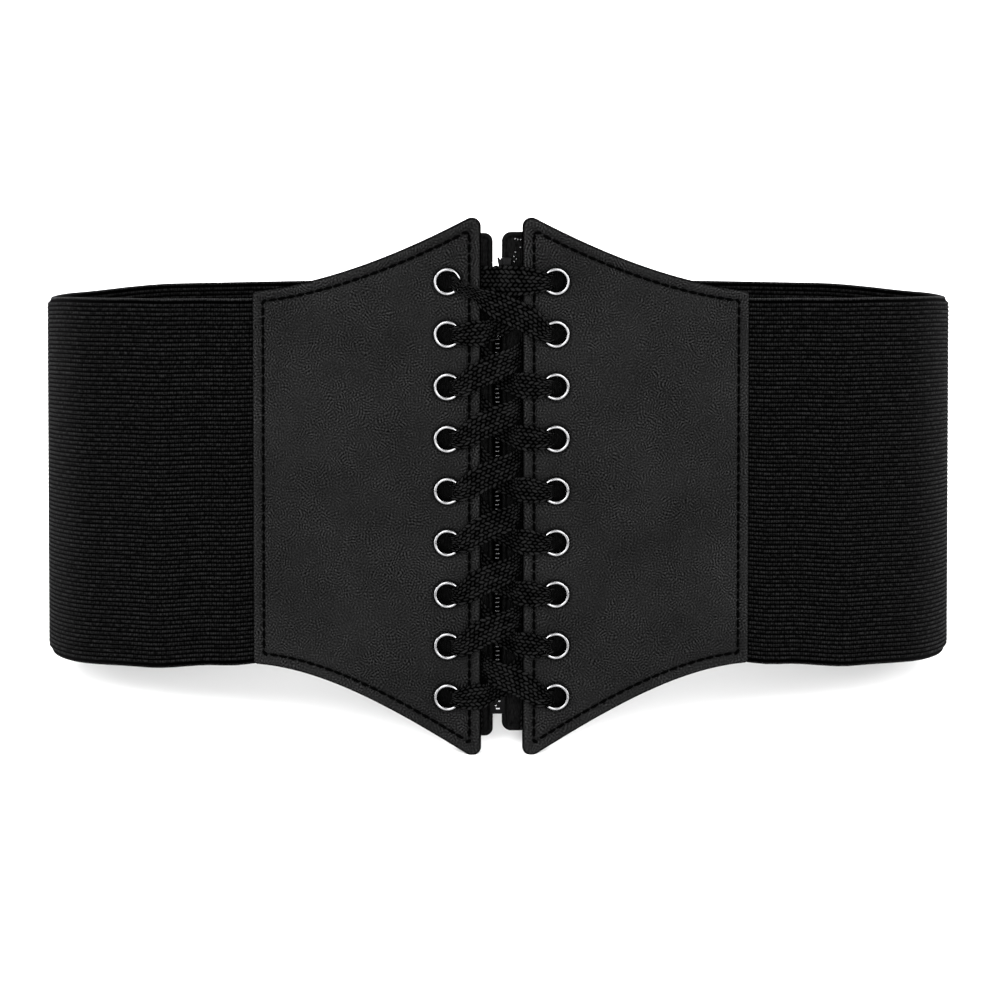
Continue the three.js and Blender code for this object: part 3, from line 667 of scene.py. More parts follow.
def panel_points():
    """Points on the flat pattern: the outline first, then the eyelets' holes, then the rest."""
    rings = [*RIM_ROWS, *(SEAM_INSET + step for step in SEAM_ROWS)]
    lines = [inset_line(OUTLINE, distance) for distance in rings]
    turn = np.arange(HOLE_SIDES) * math.tau / HOLE_SIDES
    circle = np.stack([np.cos(turn), np.sin(turn)], axis=1)
    holes = [middle + circle * EYELET_HOLE for middle in EYELET_PLACES]
    collars = [middle + circle * radius for middle in EYELET_PLACES for radius in COLLAR_RADII]
    columns = np.arange(GAP_HALF, GAP_HALF + PANEL_WIDTH, FIELD_STEP)
    columns, rows = np.meshgrid(columns, np.arange(-FIELD_REACH, FIELD_REACH, FIELD_STEP))
    columns = columns + FIELD_STEP / 2 * (np.arange(len(rows)) % 2)[:, None]
    field = np.stack([columns.ravel(), rows.ravel()], axis=1)
    inside = (field[:, 1] < panel_edge(field[:, 0], 1)) & (field[:, 1] > panel_edge(field[:, 0], -1))
    field = field[inside & (field[:, 0] < GAP_HALF + PANEL_WIDTH)]
    field = field[rim_distance(field, OUTLINE) > FIELD_INSET]
    loose = np.vstack([*lines, field])
    return OUTLINE, holes, np.vstack([loose[eyelet_distance(loose) > COLLAR_CLEAR], *collars])


def panel_triangles(outline, holes, loose):
    """Joins the points into triangles inside the outline and outside the holes."""
    points = np.vstack([outline, *holes, loose])
    loops, start = [], 0
    for loop in (outline, *holes):
        loops.append(list(range(start, start + len(loop))))
        start += len(loop)
    edges = [(a, b) for loop in loops for a, b in zip(loop, loop[1:] + loop[:1])]
    made = delaunay_2d_cdt([Vector(p) for p in points], edges, [], 1, 1e-5)
    flat = np.array([tuple(p) for p in made[0]])
    triangles = np.array(made[2])
    clear = eyelet_distance(flat[triangles].mean(axis=1)) > EYELET_HOLE * 0.98
    a, b, c = (flat[triangles[:, k]] for k in range(3))
    area = (b[:, 0] - a[:, 0]) * (c[:, 1] - a[:, 1]) - (b[:, 1] - a[:, 1]) * (c[:, 0] - a[:, 0])
    triangles = np.where(area[:, None] < 0, triangles[:, ::-1], triangles)[clear & (abs(area) > 1e-9)]
    return flat, triangles, loops


def make_panel(name, way):
    flat, triangles, loops = panel_triangles(*panel_points())
    rim = rim_distance(flat, OUTLINE)
    eyelet = eyelet_distance(flat)
    inside = np.clip(BACK_ROLL - rim, 0, BACK_ROLL)
    back_level = BACK_ROLL - np.sqrt(BACK_ROLL**2 - inside**2)
    front = stand(place(way * flat[:, 0], flat[:, 1], panel_front(rim, eyelet)))
    behind = stand(place(way * flat[:, 0], flat[:, 1], back_level))
    count = len(flat)
    faces = [tuple(t) for t in triangles] + [tuple(t[::-1] + count) for t in triangles]
    for loop, outer in zip(loops, [True] + [False] * EYELET_ROWS):
        for a, b in zip(loop, loop[1:] + loop[:1]):
            faces.append((b, a, a + count, b + count) if outer else (a, b, b + count, a + count))
    if way < 0:
        faces = [f[::-1] for f in faces]
    uv = np.vstack([flat, flat]) * MM
    piece = mesh_piece(name, np.vstack([front, behind]), faces, LEATHER, uv)
    # The front carries the painted light and shade above; the back stays at a lower level, with painted shade
    # along the cut
    painted_shade = np.concatenate([painted_panel_shade(rim, eyelet), BACK_SHADE - 0.55 * swell(rim, 0.0, 0.8)])
    piece.data.attributes.new("painted_shade", "FLOAT", "POINT").data.foreach_set("value", painted_shade.astype(np.float32))
    print(f"{name}: {len(faces)} faces")
    return piece


panels = {name: make_panel("leather_panel_" + name, way) for name, way in SIDES}
for name, panel in panels.items():
    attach(panel, "root")
    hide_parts("panel_" + name)

# %% [markdown]
# ## Stitches
#
# One row of black thread holds the turned rim down, a few millimetres inside the edge all the way
# round. A stitch is a short arch of thread whose ends dive into the leather. Geometry Nodes lay one at
# every step along the seam, and turn each so that it lies along the seam with its arch outwards.

# %% Thread
def thread_material():
    material, tree, surface, spot = new_material("black thread", Roughness=0.8, Specular_IOR_Level=0.004)
    plug(surface, {"Base Color": uneven_tone(tree, spot, 400.0, 0.0001, 0.0004)[0]})
    raise_surface(surface, yarn_fibres(tree, spot, 4000.0, 4000.0), 0.00008)
    return material


THREAD = thread_material()


def path_piece(name, points, out, closed=True):
    """A line of points with the direction off the belt at each one."""
    mesh = bpy.data.meshes.new(name)
    count = len(points)
    edges = [(k, (k + 1) % count) for k in range(count if closed else count - 1)]
    mesh.from_pydata([tuple(p) for p in points], edges, [])
    attribute = mesh.attributes.new("out", "FLOAT_VECTOR", "POINT")
    attribute.data.foreach_set("vector", np.asarray(out, np.float32).ravel())
    return add_object(name, mesh)


def lay_copies(tree, given, result, points, piece, along):
    """Lays a piece on each point, its X along a direction and its Z off the belt."""
    first = wire(tree, "FunctionNodeAlignRotationToVector", {"Vector": along}, axis="X")
    turn = wire(tree, "FunctionNodeAlignRotationToVector", {
        "Rotation": first, "Vector": kept_at_points(tree, "out")}, axis="Z", pivot_axis="X")
    row = wire(tree, "GeometryNodeInstanceOnPoints", {"Points": points, "Instance": piece, "Rotation": turn})
    return end_tree(tree, given, result, wire(tree, "GeometryNodeRealizeInstances", {"Geometry": row}))


def stitching_tree():
    tree, given, result = new_tree(
        "GeometryNodeTree", "row of stitches",
        inputs=[("Geometry", "Geometry", None), ("Pitch", "Float", 0.0035), ("Length", "Float", 0.0026),
                ("Thread radius", "Float", 0.00054), ("Arch", "Float", 0.0005),
                ("Material", "Material", None)],
        outputs=[("Geometry", "Geometry")])
    seam = wire(tree, "GeometryNodeMeshToCurve", {"Mesh": given["Geometry"]})
    steps = wire(tree, "GeometryNodeResampleCurve", {"Curve": seam, "Length": given["Pitch"]}, mode="LENGTH")
    half = given["Length"] * 0.5
    line = wire(tree, "GeometryNodeCurvePrimitiveLine", {
        "Start": vector(tree, half * -1.0), "End": vector(tree, half)})
    line = wire(tree, "GeometryNodeResampleCurve", {"Curve": line, "Count": 7}, mode="COUNT")
    share = parts_of(tree, position(tree))[0] / half
    drop = vector(tree, z=share * share * given["Arch"] * -1.0)
    arch = wire(tree, "GeometryNodeSetPosition", {"Geometry": line, "Offset": drop})
    ring = wire(tree, "GeometryNodeCurvePrimitiveCircle", {"Resolution": 6, "Radius": given["Thread radius"]})
    stitch = wire(tree, "GeometryNodeCurveToMesh", {"Curve": arch, "Profile Curve": ring, "Fill Caps": True})
    return lay_copies(tree, given, result, steps, stitch, wire(tree, "GeometryNodeInputTangent"))


# %% Stitch the panels
STITCH_PITCH = 3.55
THREAD_LEVEL = 0.22
STITCHING = stitching_tree()
seam_line = even_steps(inset_line(OUTLINE, SEAM_INSET), 1.0)
seam_level = panel_front(np.full(len(seam_line), SEAM_INSET), np.full(len(seam_line), 30.0)) + THREAD_LEVEL
for name, way in SIDES:
    seam_points = stand(place(way * seam_line[:, 0], seam_line[:, 1], seam_level))
    seam = path_piece("seam", seam_points, outwards(way * seam_line[:, 0]))
    stitches = grow("stitches_" + name, STITCHING, seam, {"Pitch": STITCH_PITCH * MM}, THREAD)
    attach(stitches, "root")

# %% [markdown]
# ## Eyelets
#
# Eighteen polished eyelets line the lacing. Each is one ring of thin metal, rolled over at the front
# and flared at the back. A short profile is spun round an axis to make one, and a Geometry Nodes tree
# puts a copy at each place, facing out of the belt.

# %% Polished metal
def metal_material(name, tone, roughness):
    material, tree, surface, spot = new_material(name, Metallic=1.0)
    marks = noise(tree, spot, 2600.0, detail=3.0)
    plug(surface, {
        "Base Color": uneven_tone(tree, spot, 150.0, tone * 0.86, tone)[0],
        "Roughness": remap(tree, marks, 0.3, 0.7, roughness * 0.8, roughness * 1.3)})
    raise_surface(surface, marks, 0.00001, 0.3)
    return material


NICKEL = metal_material("polished nickel", 0.22, 0.12)


def spun(name, profile, sides, material):
    """A ring spun round Z from a closed profile of (radius, height) in millimetres."""
    turn = np.arange(sides) * math.tau / sides
    profile = np.asarray(profile, float)
    rings = np.stack([
        np.cos(turn)[:, None] * profile[:, 0], np.sin(turn)[:, None] * profile[:, 0],
        np.repeat(profile[None, :, 1], sides, axis=0)], axis=-1)
    count = len(profile)
    faces = []
    for i in range(sides):
        for j in range(count):
            k, m = (i + 1) % sides, (j + 1) % count
            faces.append((i * count + j, i * count + m, k * count + m, k * count + j))
    return mesh_piece(name, rings * MM, faces, material)


def copies_tree():
    tree, given, result = new_tree(
        "GeometryNodeTree", "copies at places",
        inputs=[("Geometry", "Geometry", None), ("Piece", "Object", None), ("Material", "Material", None)],
        outputs=[("Geometry", "Geometry")])
    piece = wire(tree, "GeometryNodeObjectInfo", {"Object": given["Piece"], "As Instance": False}, "Geometry")
    points = wire(tree, "GeometryNodeMeshToPoints", {"Mesh": given["Geometry"]})
    return lay_copies(tree, given, result, points, piece, kept_at_points(tree, "along"))


COPIES = copies_tree()


def places_piece(name, points, along, out):
    piece = path_piece(name, points, out, closed=False)
    attribute = piece.data.attributes.new("along", "FLOAT_VECTOR", "POINT")
    attribute.data.foreach_set("vector", np.asarray(along, np.float32).ravel())
    return piece


# %% The eyelets
EYELET_BORE = 3.64
EYELET_RIM = 4.9
ROLL_LOW = 1.65
ROLL_MIDDLE = 2.35
ROLL_HIGH = 3.2
BARREL_WALL = 0.3
FLARE_RIM = 4.75
FLARE_LOW = -0.85
EYELET_SIDES = 48


def eyelet_profile():
    """The section of an eyelet: down the bore, out over the flare, up the barrel and over the roll."""
    middle = (EYELET_BORE + EYELET_RIM) / 2
    wide, high = EYELET_RIM - middle, ROLL_HIGH - ROLL_MIDDLE
    turn = np.linspace(math.pi, -0.15 * math.pi, 13)
    crown = [(middle + wide * math.cos(a), ROLL_MIDDLE + high * math.sin(a)) for a in turn]
    barrel = EYELET_BORE + BARREL_WALL
    foot = [(barrel, ROLL_LOW), (barrel, -0.1), (FLARE_RIM, -0.25), (FLARE_RIM, -0.5),
            (barrel + 0.3, FLARE_LOW), (EYELET_BORE - 0.2, -0.7), (EYELET_BORE - 0.45, -0.3),
            (EYELET_BORE - 0.15, 1.0)]
    return (crown + foot)[::-1]


one_eyelet = spun("one_eyelet", eyelet_profile(), EYELET_SIDES, NICKEL)
for name, way in SIDES:
    heights = EYELET_PLACES[:, 1]
    reach = np.full(EYELET_ROWS, way * EYELET_REACH)
    along = lean(place(reach + 1.0, 0.0, 0.0) - place(reach, 0.0, 0.0))
    spots = places_piece("eyelet_places", stand(place(reach, heights, 0.0)), along, outwards(reach))
    eyelets = grow("eyelets_" + name, COPIES, spots, {"Piece": one_eyelet}, NICKEL)
    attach(eyelets, "root")
    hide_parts(*[f"eyelet_{name[0]}{row}" for row in range(1, EYELET_ROWS + 1)])
bpy.data.objects.remove(one_eyelet)

# %% [markdown]
# ## The way of the lace
#
# One flat lace closes the front. It starts behind the lowest eyelets, crosses from side to side up
# behind the panels and out over them, makes a level bar across the top and comes down again the same
# way. Each crossing is a short table: how far across the step lies, how many eyelet rows it is above the
# eyelet that it enters, how the flat of the lace is turned, how wide it lies, and how much it curls in
# the bore of an eyelet. The strap that enters on the left lies over the one that enters on the right.

# %% The way of the lace
LACE_WIDTH = 9.4
LACE_IN_BORE = 2.4
LACE_TAIL = 13.0
LACE_BACK = -1.8
LACE_FRONT = 4.2
LACE_RISE = LACE_FRONT - LACE_BACK
OVER_LEATHER = 0.87
EYELET_CLIMB = (0.42, 0.72)
BORE_WIDE = 0.70

OVER = {"climb": (-0.44, -0.11), "steps": [
    (-0.75, 0.985, -14, 0.76, 0.25),
    (-0.56, 0.80, -34, 0.82, 0),
    (-0.42, 0.65, -31, 0.84, 0),
    (-0.34, 0.60, -28, 0.85, 0),
    (-0.26, 0.56, -26, 0.82, 0),
    (-0.18, 0.52, -25, 0.84, 0),
    (-0.08, 0.47, -25, 0.92, 0),
    (0.12, 0.375, -25, 0.98, 0),
    (0.38, 0.25, -26, 1.00, 0),
    (0.58, 0.11, -22, 0.93, 0.1),
    (0.75, 0.01, -8, 0.80, 0.3),
]}
UNDER = {"climb": (0.035, 0.415), "steps": [
    (-0.75, 0.985, -16, 0.76, 0.25),
    (-0.56, 0.74, -44, 0.86, 0),
    (-0.38, 0.52, -42, 0.92, 0),
    (-0.18, 0.34, -39, 0.92, 0),
    (0.00, 0.195, -35, 0.90, 0),
    (0.10, 0.13, -30, 0.88, 0),
    (0.18, 0.08, -22, 0.83, 0),
    (0.26, 0.05, -15, 0.85, 0),
    (0.34, 0.04, -10, 0.93, 0),
    (0.44, 0.03, -7, 0.98, 0),
    (0.59, 0.015, -5, 0.94, 0.1),
    (0.75, 0, -2, 0.80, 0.3),
]}
FIRST = {"climb": (-3, -2), "steps": [
    (-0.78, 0.895, -16, 0.46, -0.2),
    (-0.64, 0.83, -22, 0.42, 0),
    (-0.48, 0.765, -25, 0.46, 0),
    (-0.34, 0.69, -26, 0.68, 0),
    (-0.20, 0.615, -26, 0.86, 0),
    (0.06, 0.485, -27, 0.99, 0),
    (0.40, 0.33, -26, 1.02, 0),
    (0.60, 0.19, -18, 0.98, 0.1),
    (0.75, 0.06, -6, 0.80, 0.3),
]}
BAR = {"climb": (-0.37, 0.31), "steps": [
    (-0.75, 0, 0, 0.76, 0.25),
    (-0.56, 0, 0, 0.94, 0),
    (-0.37, 0.01, 0, 1.06, 0),
    (-0.20, 0.01, 0, 1.10, 0),
    (-0.03, 0.02, 0, 1.12, 0),
    (0.14, 0.02, 0, 1.12, 0),
    (0.31, 0.02, 0, 1.10, 0),
    (0.44, 0.01, 0, 1.06, 0),
    (0.60, 0.01, 0, 0.96, 0.1),
    (0.75, 0, 0, 0.80, 0.3),
]}
TAIL = {"climb": (2, 3), "steps": [
    (0.75, -0.02, 10, 0.76, 0.25),
    (0.63, -0.20, 45, 0.84, 0),
    (0.58, -0.55, 78, 0.90, 0),
    (0.57, -1.00, 88, 0.90, 0),
]}
BORE_STEPS = ((0.7, 0.88, 0.75), (0.0, 0.5, 1.0), (0.7, 0.12, 0.75))


def smooth(t):
    t = np.clip(t, 0.0, 1.0)
    return t * t * (3 - 2 * t)


def out_share(climb, across):
    """How far out the lace lies, as a share of its rise from behind the panels to over the eyelets."""
    low, high = EYELET_CLIMB
    leather = smooth((across - climb[0]) / (climb[1] - climb[0]))
    flange = smooth((across - low) / (high - low)) * leather
    if climb[0] < -1:
        flange = np.maximum(flange, smooth((-across - low) / (high - low)))
    return OVER_LEATHER * leather + (1 - OVER_LEATHER) * flange


def leg(route, way, row, rise_unit=EYELET_PITCH):
    """The way points between two eyelets, mirrored to enter on the given side."""
    climb = route["climb"]
    return [dict(way=way, climb=climb, u=way * across * EYELET_REACH, z=row_height(row) + rise * rise_unit,
                 n=LACE_BACK + LACE_RISE * float(out_share(climb, across)),
                 tip=way * tip, width=wide * LACE_WIDTH, cup=np.sign(way * across) * cup)
            for across, rise, tip, wide, cup in route["steps"]]


def bore(way, row):
    """The way points down through an eyelet."""
    return [dict(way=way, climb=None, u=way * (EYELET_REACH - LACE_IN_BORE - inset), z=row_height(row),
                 n=LACE_BACK + LACE_RISE * out, tip=0.0, width=BORE_WIDE * LACE_WIDTH, cup=way * cup)
            for inset, out, cup in BORE_STEPS]


def backwards(points):
    return [{**point, "cup": -point["cup"]} for point in reversed(points)]


def crossings(last_way, first_row):
    """Upwards from the last row, from side to side."""
    points, way = [], last_way
    for row in range(EYELET_ROWS, first_row - 1, -1):
        over = way > 0 if row == EYELET_ROWS else way < 0 and row > 2
        points += backwards(bore(way, row)) + backwards(leg(OVER if over else UNDER, way, row))
        way = -way
    return points


def lace_points():
    """Up from one tail to the bar across the top, and down again to the other tail."""
    up = backwards(leg(TAIL, 1, EYELET_ROWS, LACE_TAIL)) + crossings(1, 2) + backwards(bore(1, 1))
    top = backwards(leg(BAR, 1, 1)) + backwards(bore(-1, 1)) + leg(FIRST, 1, 2) + bore(1, 2)
    return up + top + backwards(crossings(-1, 3)) + leg(TAIL, -1, EYELET_ROWS, LACE_TAIL)


LACE_POINTS = lace_points()
print("way points of the lace:", len(LACE_POINTS))

# %% [markdown]
# ## A guide for the lace
#
# The way points become a smooth sheet, as wide as the lace and with no thickness. Its middle line is a
# spline through the points. Across it the sheet either curls, in a bore, or drapes: each of its strands
# lies as far out as the leather or the eyelet under that strand asks.

# %% A guide for the lace
LACE_STEP = 0.7
SPLINE_STEPS = 6000
GUIDE_SIDES = np.linspace(-1.2, 1.2, 13)


def spline(values, knots, at):
    """A centripetal Catmull-Rom spline through rows of values."""
    values = np.vstack([2 * values[0] - values[1], values, 2 * values[-1] - values[-2]])
    knots = np.concatenate([[2 * knots[0] - knots[1]], knots, [2 * knots[-1] - knots[-2]]])
    index = np.clip(np.searchsorted(knots, at, side="right") - 1, 1, len(knots) - 3)
    t0, t1, t2, t3 = (knots[index + k][:, None] for k in (-1, 0, 1, 2))
    p0, p1, p2, p3 = (values[index + k] for k in (-1, 0, 1, 2))
    t = np.asarray(at, float)[:, None]
    a1 = (t1 - t) / (t1 - t0) * p0 + (t - t0) / (t1 - t0) * p1
    a2 = (t2 - t) / (t2 - t1) * p1 + (t - t1) / (t2 - t1) * p2
    a3 = (t3 - t) / (t3 - t2) * p2 + (t - t2) / (t3 - t2) * p3
    b1 = (t2 - t) / (t2 - t0) * a1 + (t - t0) / (t2 - t0) * a2
    b2 = (t3 - t) / (t3 - t1) * a2 + (t - t1) / (t3 - t1) * a3
    return (t2 - t) / (t2 - t1) * b1 + (t - t1) / (t2 - t1) * b2


def unit(vectors):
    return vectors / np.maximum(np.linalg.norm(vectors, axis=-1, keepdims=True), 1e-12)


def belt_directions(u):
    """Along, up and out of the upright belt at each u."""
    out = place(u, 0.0, 1.0) - place(u, 0.0, 0.0)
    up = np.broadcast_to([0.0, 0.0, 1.0], out.shape)
    return np.cross(up, out), up, out


def lace_guide():
    table = [[point[key] for key in ("u", "z", "n", "width", "cup", "tip")] for point in LACE_POINTS]
    u, z, n, width, cup, tip = np.array(table, float).T
    centres = place(u, z, n)
    along, up, _ = belt_directions(u)
    tip = np.radians(tip)[:, None]
    flats = up * np.cos(tip) - along * np.sin(tip)
    knots = np.concatenate([[0], np.cumsum(np.sqrt(np.linalg.norm(np.diff(centres, axis=0), axis=1)))])
    dense = np.linspace(0, knots[-1], SPLINE_STEPS)
    line = spline(centres, knots, dense)
    gone = np.concatenate([[0], np.cumsum(np.linalg.norm(np.diff(line, axis=0), axis=1))])
    count = round(gone[-1] / LACE_STEP) + 1
    at = np.interp(np.linspace(0, gone[-1], count), gone, dense)
    middle = spline(centres, knots, at)
    forward = unit(np.gradient(middle, axis=0))
    flat = spline(flats, knots, at)
    flat = unit(flat - (flat * forward).sum(-1, keepdims=True) * forward)
    thick = np.cross(forward, flat)
    u, n, width, cup = spline(np.stack([u, n, width, cup], axis=1), knots, at).T
    index = np.clip(np.searchsorted(knots, at, side="right") - 1, 0, len(knots) - 2)
    along, up, out = belt_directions(u)
    rows, offs = [], []
    for side in GUIDE_SIDES:
        reach = side * width / 2
        bend = np.where(np.abs(cup) > 1e-3, cup, 1e-3) / LACE_IN_BORE
        turn = reach * bend
        point = middle + flat * (np.sin(turn) / bend)[:, None] + thick * ((1 - np.cos(turn)) / bend)[:, None]
        rows.append(point)
        offs.append(thick * np.cos(turn)[:, None] - flat * np.sin(turn)[:, None])
    points = np.stack(rows, axis=1)
    for k in range(count):
        near = LACE_POINTS[index[k]], LACE_POINTS[index[k] + 1]
        if near[0]["climb"] is None or near[1]["climb"] is None:
            continue
        way, climb = near[0]["way"], near[0]["climb"]
        across = way * u[k] / EYELET_REACH
        aside = across + way * ((points[k] - middle[k]) @ along[k]) / EYELET_REACH
        level = LACE_BACK + LACE_RISE * out_share(climb, aside)
        points[k] += np.outer(level - n[k], out[k])
    return points, np.stack(offs, axis=1), gone[-1]


lace_sheet, lace_off, LACE_LENGTH = lace_guide()
lace_share = np.linspace(0.0, 1.0, len(lace_sheet))
lace_uv = np.stack(np.meshgrid(lace_share, 0.5 + GUIDE_SIDES / 2, indexing="ij"), axis=-1)
lace_guide_piece = guide_piece("lace_guide", stand(lace_sheet), lean(lace_off), lace_uv)
print(f"the lace is {LACE_LENGTH:.0f} mm long")

# %% [markdown]
# ## The braid
#
# A flat braid shows rows of small slanted stitches, and neighbouring rows slant opposite ways and are
# half a stitch apart, so that they read as a row of arrowheads. The tree lays one egg-shaped stitch at
# each point of a flat grid, turns it by its row and a little at random, and wraps the whole sheet on the
# guide. A stitch is as thick as the lace, so it shows on both faces.

# %% The braid tree
def braid_tree():
    tree, given, result = new_tree(
        "GeometryNodeTree", "flat braid",
        inputs=[("Geometry", "Geometry", None), ("Guide", "Object", None), ("Length", "Float", 0.8),
                ("Width", "Float", 0.0094), ("Thickness", "Float", 0.0018), ("Rows", "Int", 7),
                ("Stitches", "Int", 370), ("Stitch length", "Float", 0.0027),
                ("Stitch width", "Float", 0.00146), ("Slant", "Float", 0.4), ("Uneven", "Float", 0.14),
                ("Material", "Material", None)],
        outputs=[("Geometry", "Geometry")])
    pitch = given["Length"] / given["Stitches"]
    row_gap = given["Width"] / given["Rows"]
    half_width = given["Width"] * 0.5
    grid = wire(tree, "GeometryNodeMeshGrid", {
        "Size X": given["Length"] - pitch * 1.5, "Size Y": given["Width"] - row_gap,
        "Vertices X": given["Stitches"], "Vertices Y": given["Rows"]})
    y = parts_of(tree, position(tree))[1]
    odd = ((y + half_width) / row_gap).maths("FLOOR").maths("MODULO", 2.0)
    across = y / half_width * 0.92
    bulge = (1.0 - across * across).maths("SQRT")
    stagger = (odd - 0.5) * (pitch * 0.5)
    move = vector(tree, given["Length"] * 0.5 + stagger, half_width)
    ball = wire(tree, "GeometryNodeMeshUVSphere", {"Segments": 8, "Rings": 5, "Radius": 0.5})
    size = vector(tree, given["Thickness"], given["Stitch width"], given["Stitch length"])
    stitch = wire(tree, "GeometryNodeTransform", {
        "Geometry": ball, "Scale": size, "Rotation": (0.0, math.pi / 2, 0.0)})
    uneven = {2: given["Uneven"] * -1.0, 3: given["Uneven"]}
    wobble, swelling = (
        wire(tree, "FunctionNodeRandomValue", {**uneven, "Seed": seed}, 1, data_type="FLOAT")
        for seed in (7, 8))
    plump = swelling + 1.0
    turn = vector(tree, z=given["Slant"] * (odd * 2.0 - 1.0) + wobble)
    laid = wire(tree, "GeometryNodeInstanceOnPoints", {
        "Points": wire(tree, "GeometryNodeMeshToPoints", {"Mesh": grid}), "Instance": stitch,
        "Rotation": wire(tree, "FunctionNodeEulerToRotation", {0: turn}),
        "Scale": vector(tree, plump, 1.0, bulge * plump)})
    laid = wire(tree, "GeometryNodeTranslateInstances", {
        "Instances": laid, "Translation": move, "Local Space": False})
    laid = wire(tree, "GeometryNodeRealizeInstances", {"Geometry": laid})
    _, y, z = parts_of(tree, position(tree))
    aside = y / half_width - 1.0
    crown = (1.0 - aside * aside * 0.8).maths("MAXIMUM", 0.1).maths("SQRT") * (given["Thickness"] * 0.5)
    return finish_wrapped(tree, given, result, laid, abs(z) / crown)


def keep_value(tree, geometry, name, value, kind="FLOAT", domain="POINT"):
    return wire(tree, "GeometryNodeStoreNamedAttribute", {
        "Geometry": geometry, "Name": name, "Value": value}, data_type=kind, domain=domain)


def finish_wrapped(tree, given, result, laid, height):
    """Keeps the flat places and the height of the relief for the material, and wraps the flat pattern."""
    laid = keep_value(tree, laid, "thread", position(tree), "FLOAT2", "CORNER")
    laid = keep_value(tree, laid, "relief", height)
    wrapped = wire(tree, "GeometryNodeGroup", {
        "Geometry": laid, **{label: given[label] for label in ("Guide", "Length", "Width")}}, node_tree=WRAP)
    return end_tree(tree, given, result, wrapped)


def empty_source():
    return add_object("source", bpy.data.meshes.new("source"))


# %% Braid the lace
BRAID_PITCH = 1.95
BRAID_TONE = 0.0055


def braid_material():
    """Black yarn with painted shade between its stitches, lighter on their crests, with fine fibres."""
    material, tree, surface, spot = new_material("black braid", Roughness=0.8)
    fibres = yarn_fibres(tree, kept_map(tree, "thread"), 1500.0, 4200.0)
    tone, _ = uneven_tone(tree, spot, 260.0, BRAID_TONE * 0.75, BRAID_TONE)
    fibrous = mix_colours(tree, remap(tree, fibres, 0.3, 0.7), grey(BRAID_TONE * 0.4), tone)
    # Painted shade: colour and specular fall from the crest of each stitch towards its sides
    lit = remap(tree, kept_value(tree, "relief"), 0.55, 1.0)
    plug(surface, {
        "Base Color": mix_colours(tree, lit, grey(0.0001), fibrous), "Specular IOR Level": lit * 0.08})
    raise_surface(surface, fibres, 0.00012)
    return material


BRAID = braid_material()
lace = grow("braided_lace", braid_tree(), empty_source(), {
    "Guide": lace_guide_piece, "Length": LACE_LENGTH * MM, "Width": LACE_WIDTH * MM,
    "Stitches": round(LACE_LENGTH / BRAID_PITCH)}, BRAID)
bpy.data.objects.remove(lace_guide_piece)
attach(lace, "root")
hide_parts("lace")

# %% [markdown]
# ## The plackets
#
# Behind the lace, a strip of black tape runs down each side of the zip. It is flat behind the eyelets,
# bends forward to its seam on the panel, and is rolled over a cord at its edge. Its thickness comes from
# one rule: the distance of a point to the rim of the strip gives the roll, a small sewn groove beside it
# and then the plain tape. At the rim the thickness is nothing, so that front and back close by themselves.

# %% The plackets
UPPER_POINT = OUTER_TOP + POINT_RISE
LOWER_POINT = OUTER_BOTTOM - POINT_DROP
PLACKET_THICKNESS = 1.2
PLACKET_LEVEL = -4.8
PLACKET_REACH = 37.0
PLACKET_FLAT_TO = 25.0
PLACKET_SEAM_FROM = 31.0
PLACKET_CORD = 1.9
PLACKET_INSET = 4.0
PLACKET_ENDS = {"left": (7.8, 8.7, 3.0), "right": (7.4, 10.6, 3.4)}
ZIP_CENTRE = -1.5
ZIP_HALF_GAP = 1.6
NEAR_RIM = np.array([0.0, 0.06, 0.2, 0.45, 0.8, 1.15, 1.5, 1.8, 2.05, 2.3, 2.6, 3.1])
CLOSE = 1e-6


def tape_material():
    material, tree, surface, spot = new_material("black tape", Roughness=0.5)
    across, up, _ = parts_of(tree, kept_map(tree, "cut"))
    threads = yarn_fibres(tree, vector(tree, up, across), 500.0, 3000.0)
    tone, _ = uneven_tone(tree, spot, 120.0, 0.0008, 0.002)
    plug(surface, {
        "Base Color": mix_colours(tree, remap(tree, threads, 0.3, 0.7), grey(0.0004), tone),
        "Specular IOR Level": remap(tree, threads, 0.35, 0.7, 0.005, 0.05)})
    raise_surface(surface, threads, 0.00015)
    return material


TAPE = tape_material()


def placket_thickness(rim):
    """The roll over the cord, the sewn groove and the plain tape, from the distance to the rim."""
    roll = PLACKET_CORD * np.sqrt(np.clip(1 - (2 * rim / PLACKET_CORD - 1) ** 2, 0, 1))
    plain = PLACKET_THICKNESS - 0.35 * swell(rim, PLACKET_CORD + 0.3, 0.35)
    return np.where(rim < PLACKET_CORD / 2, roll, np.maximum(roll, plain))


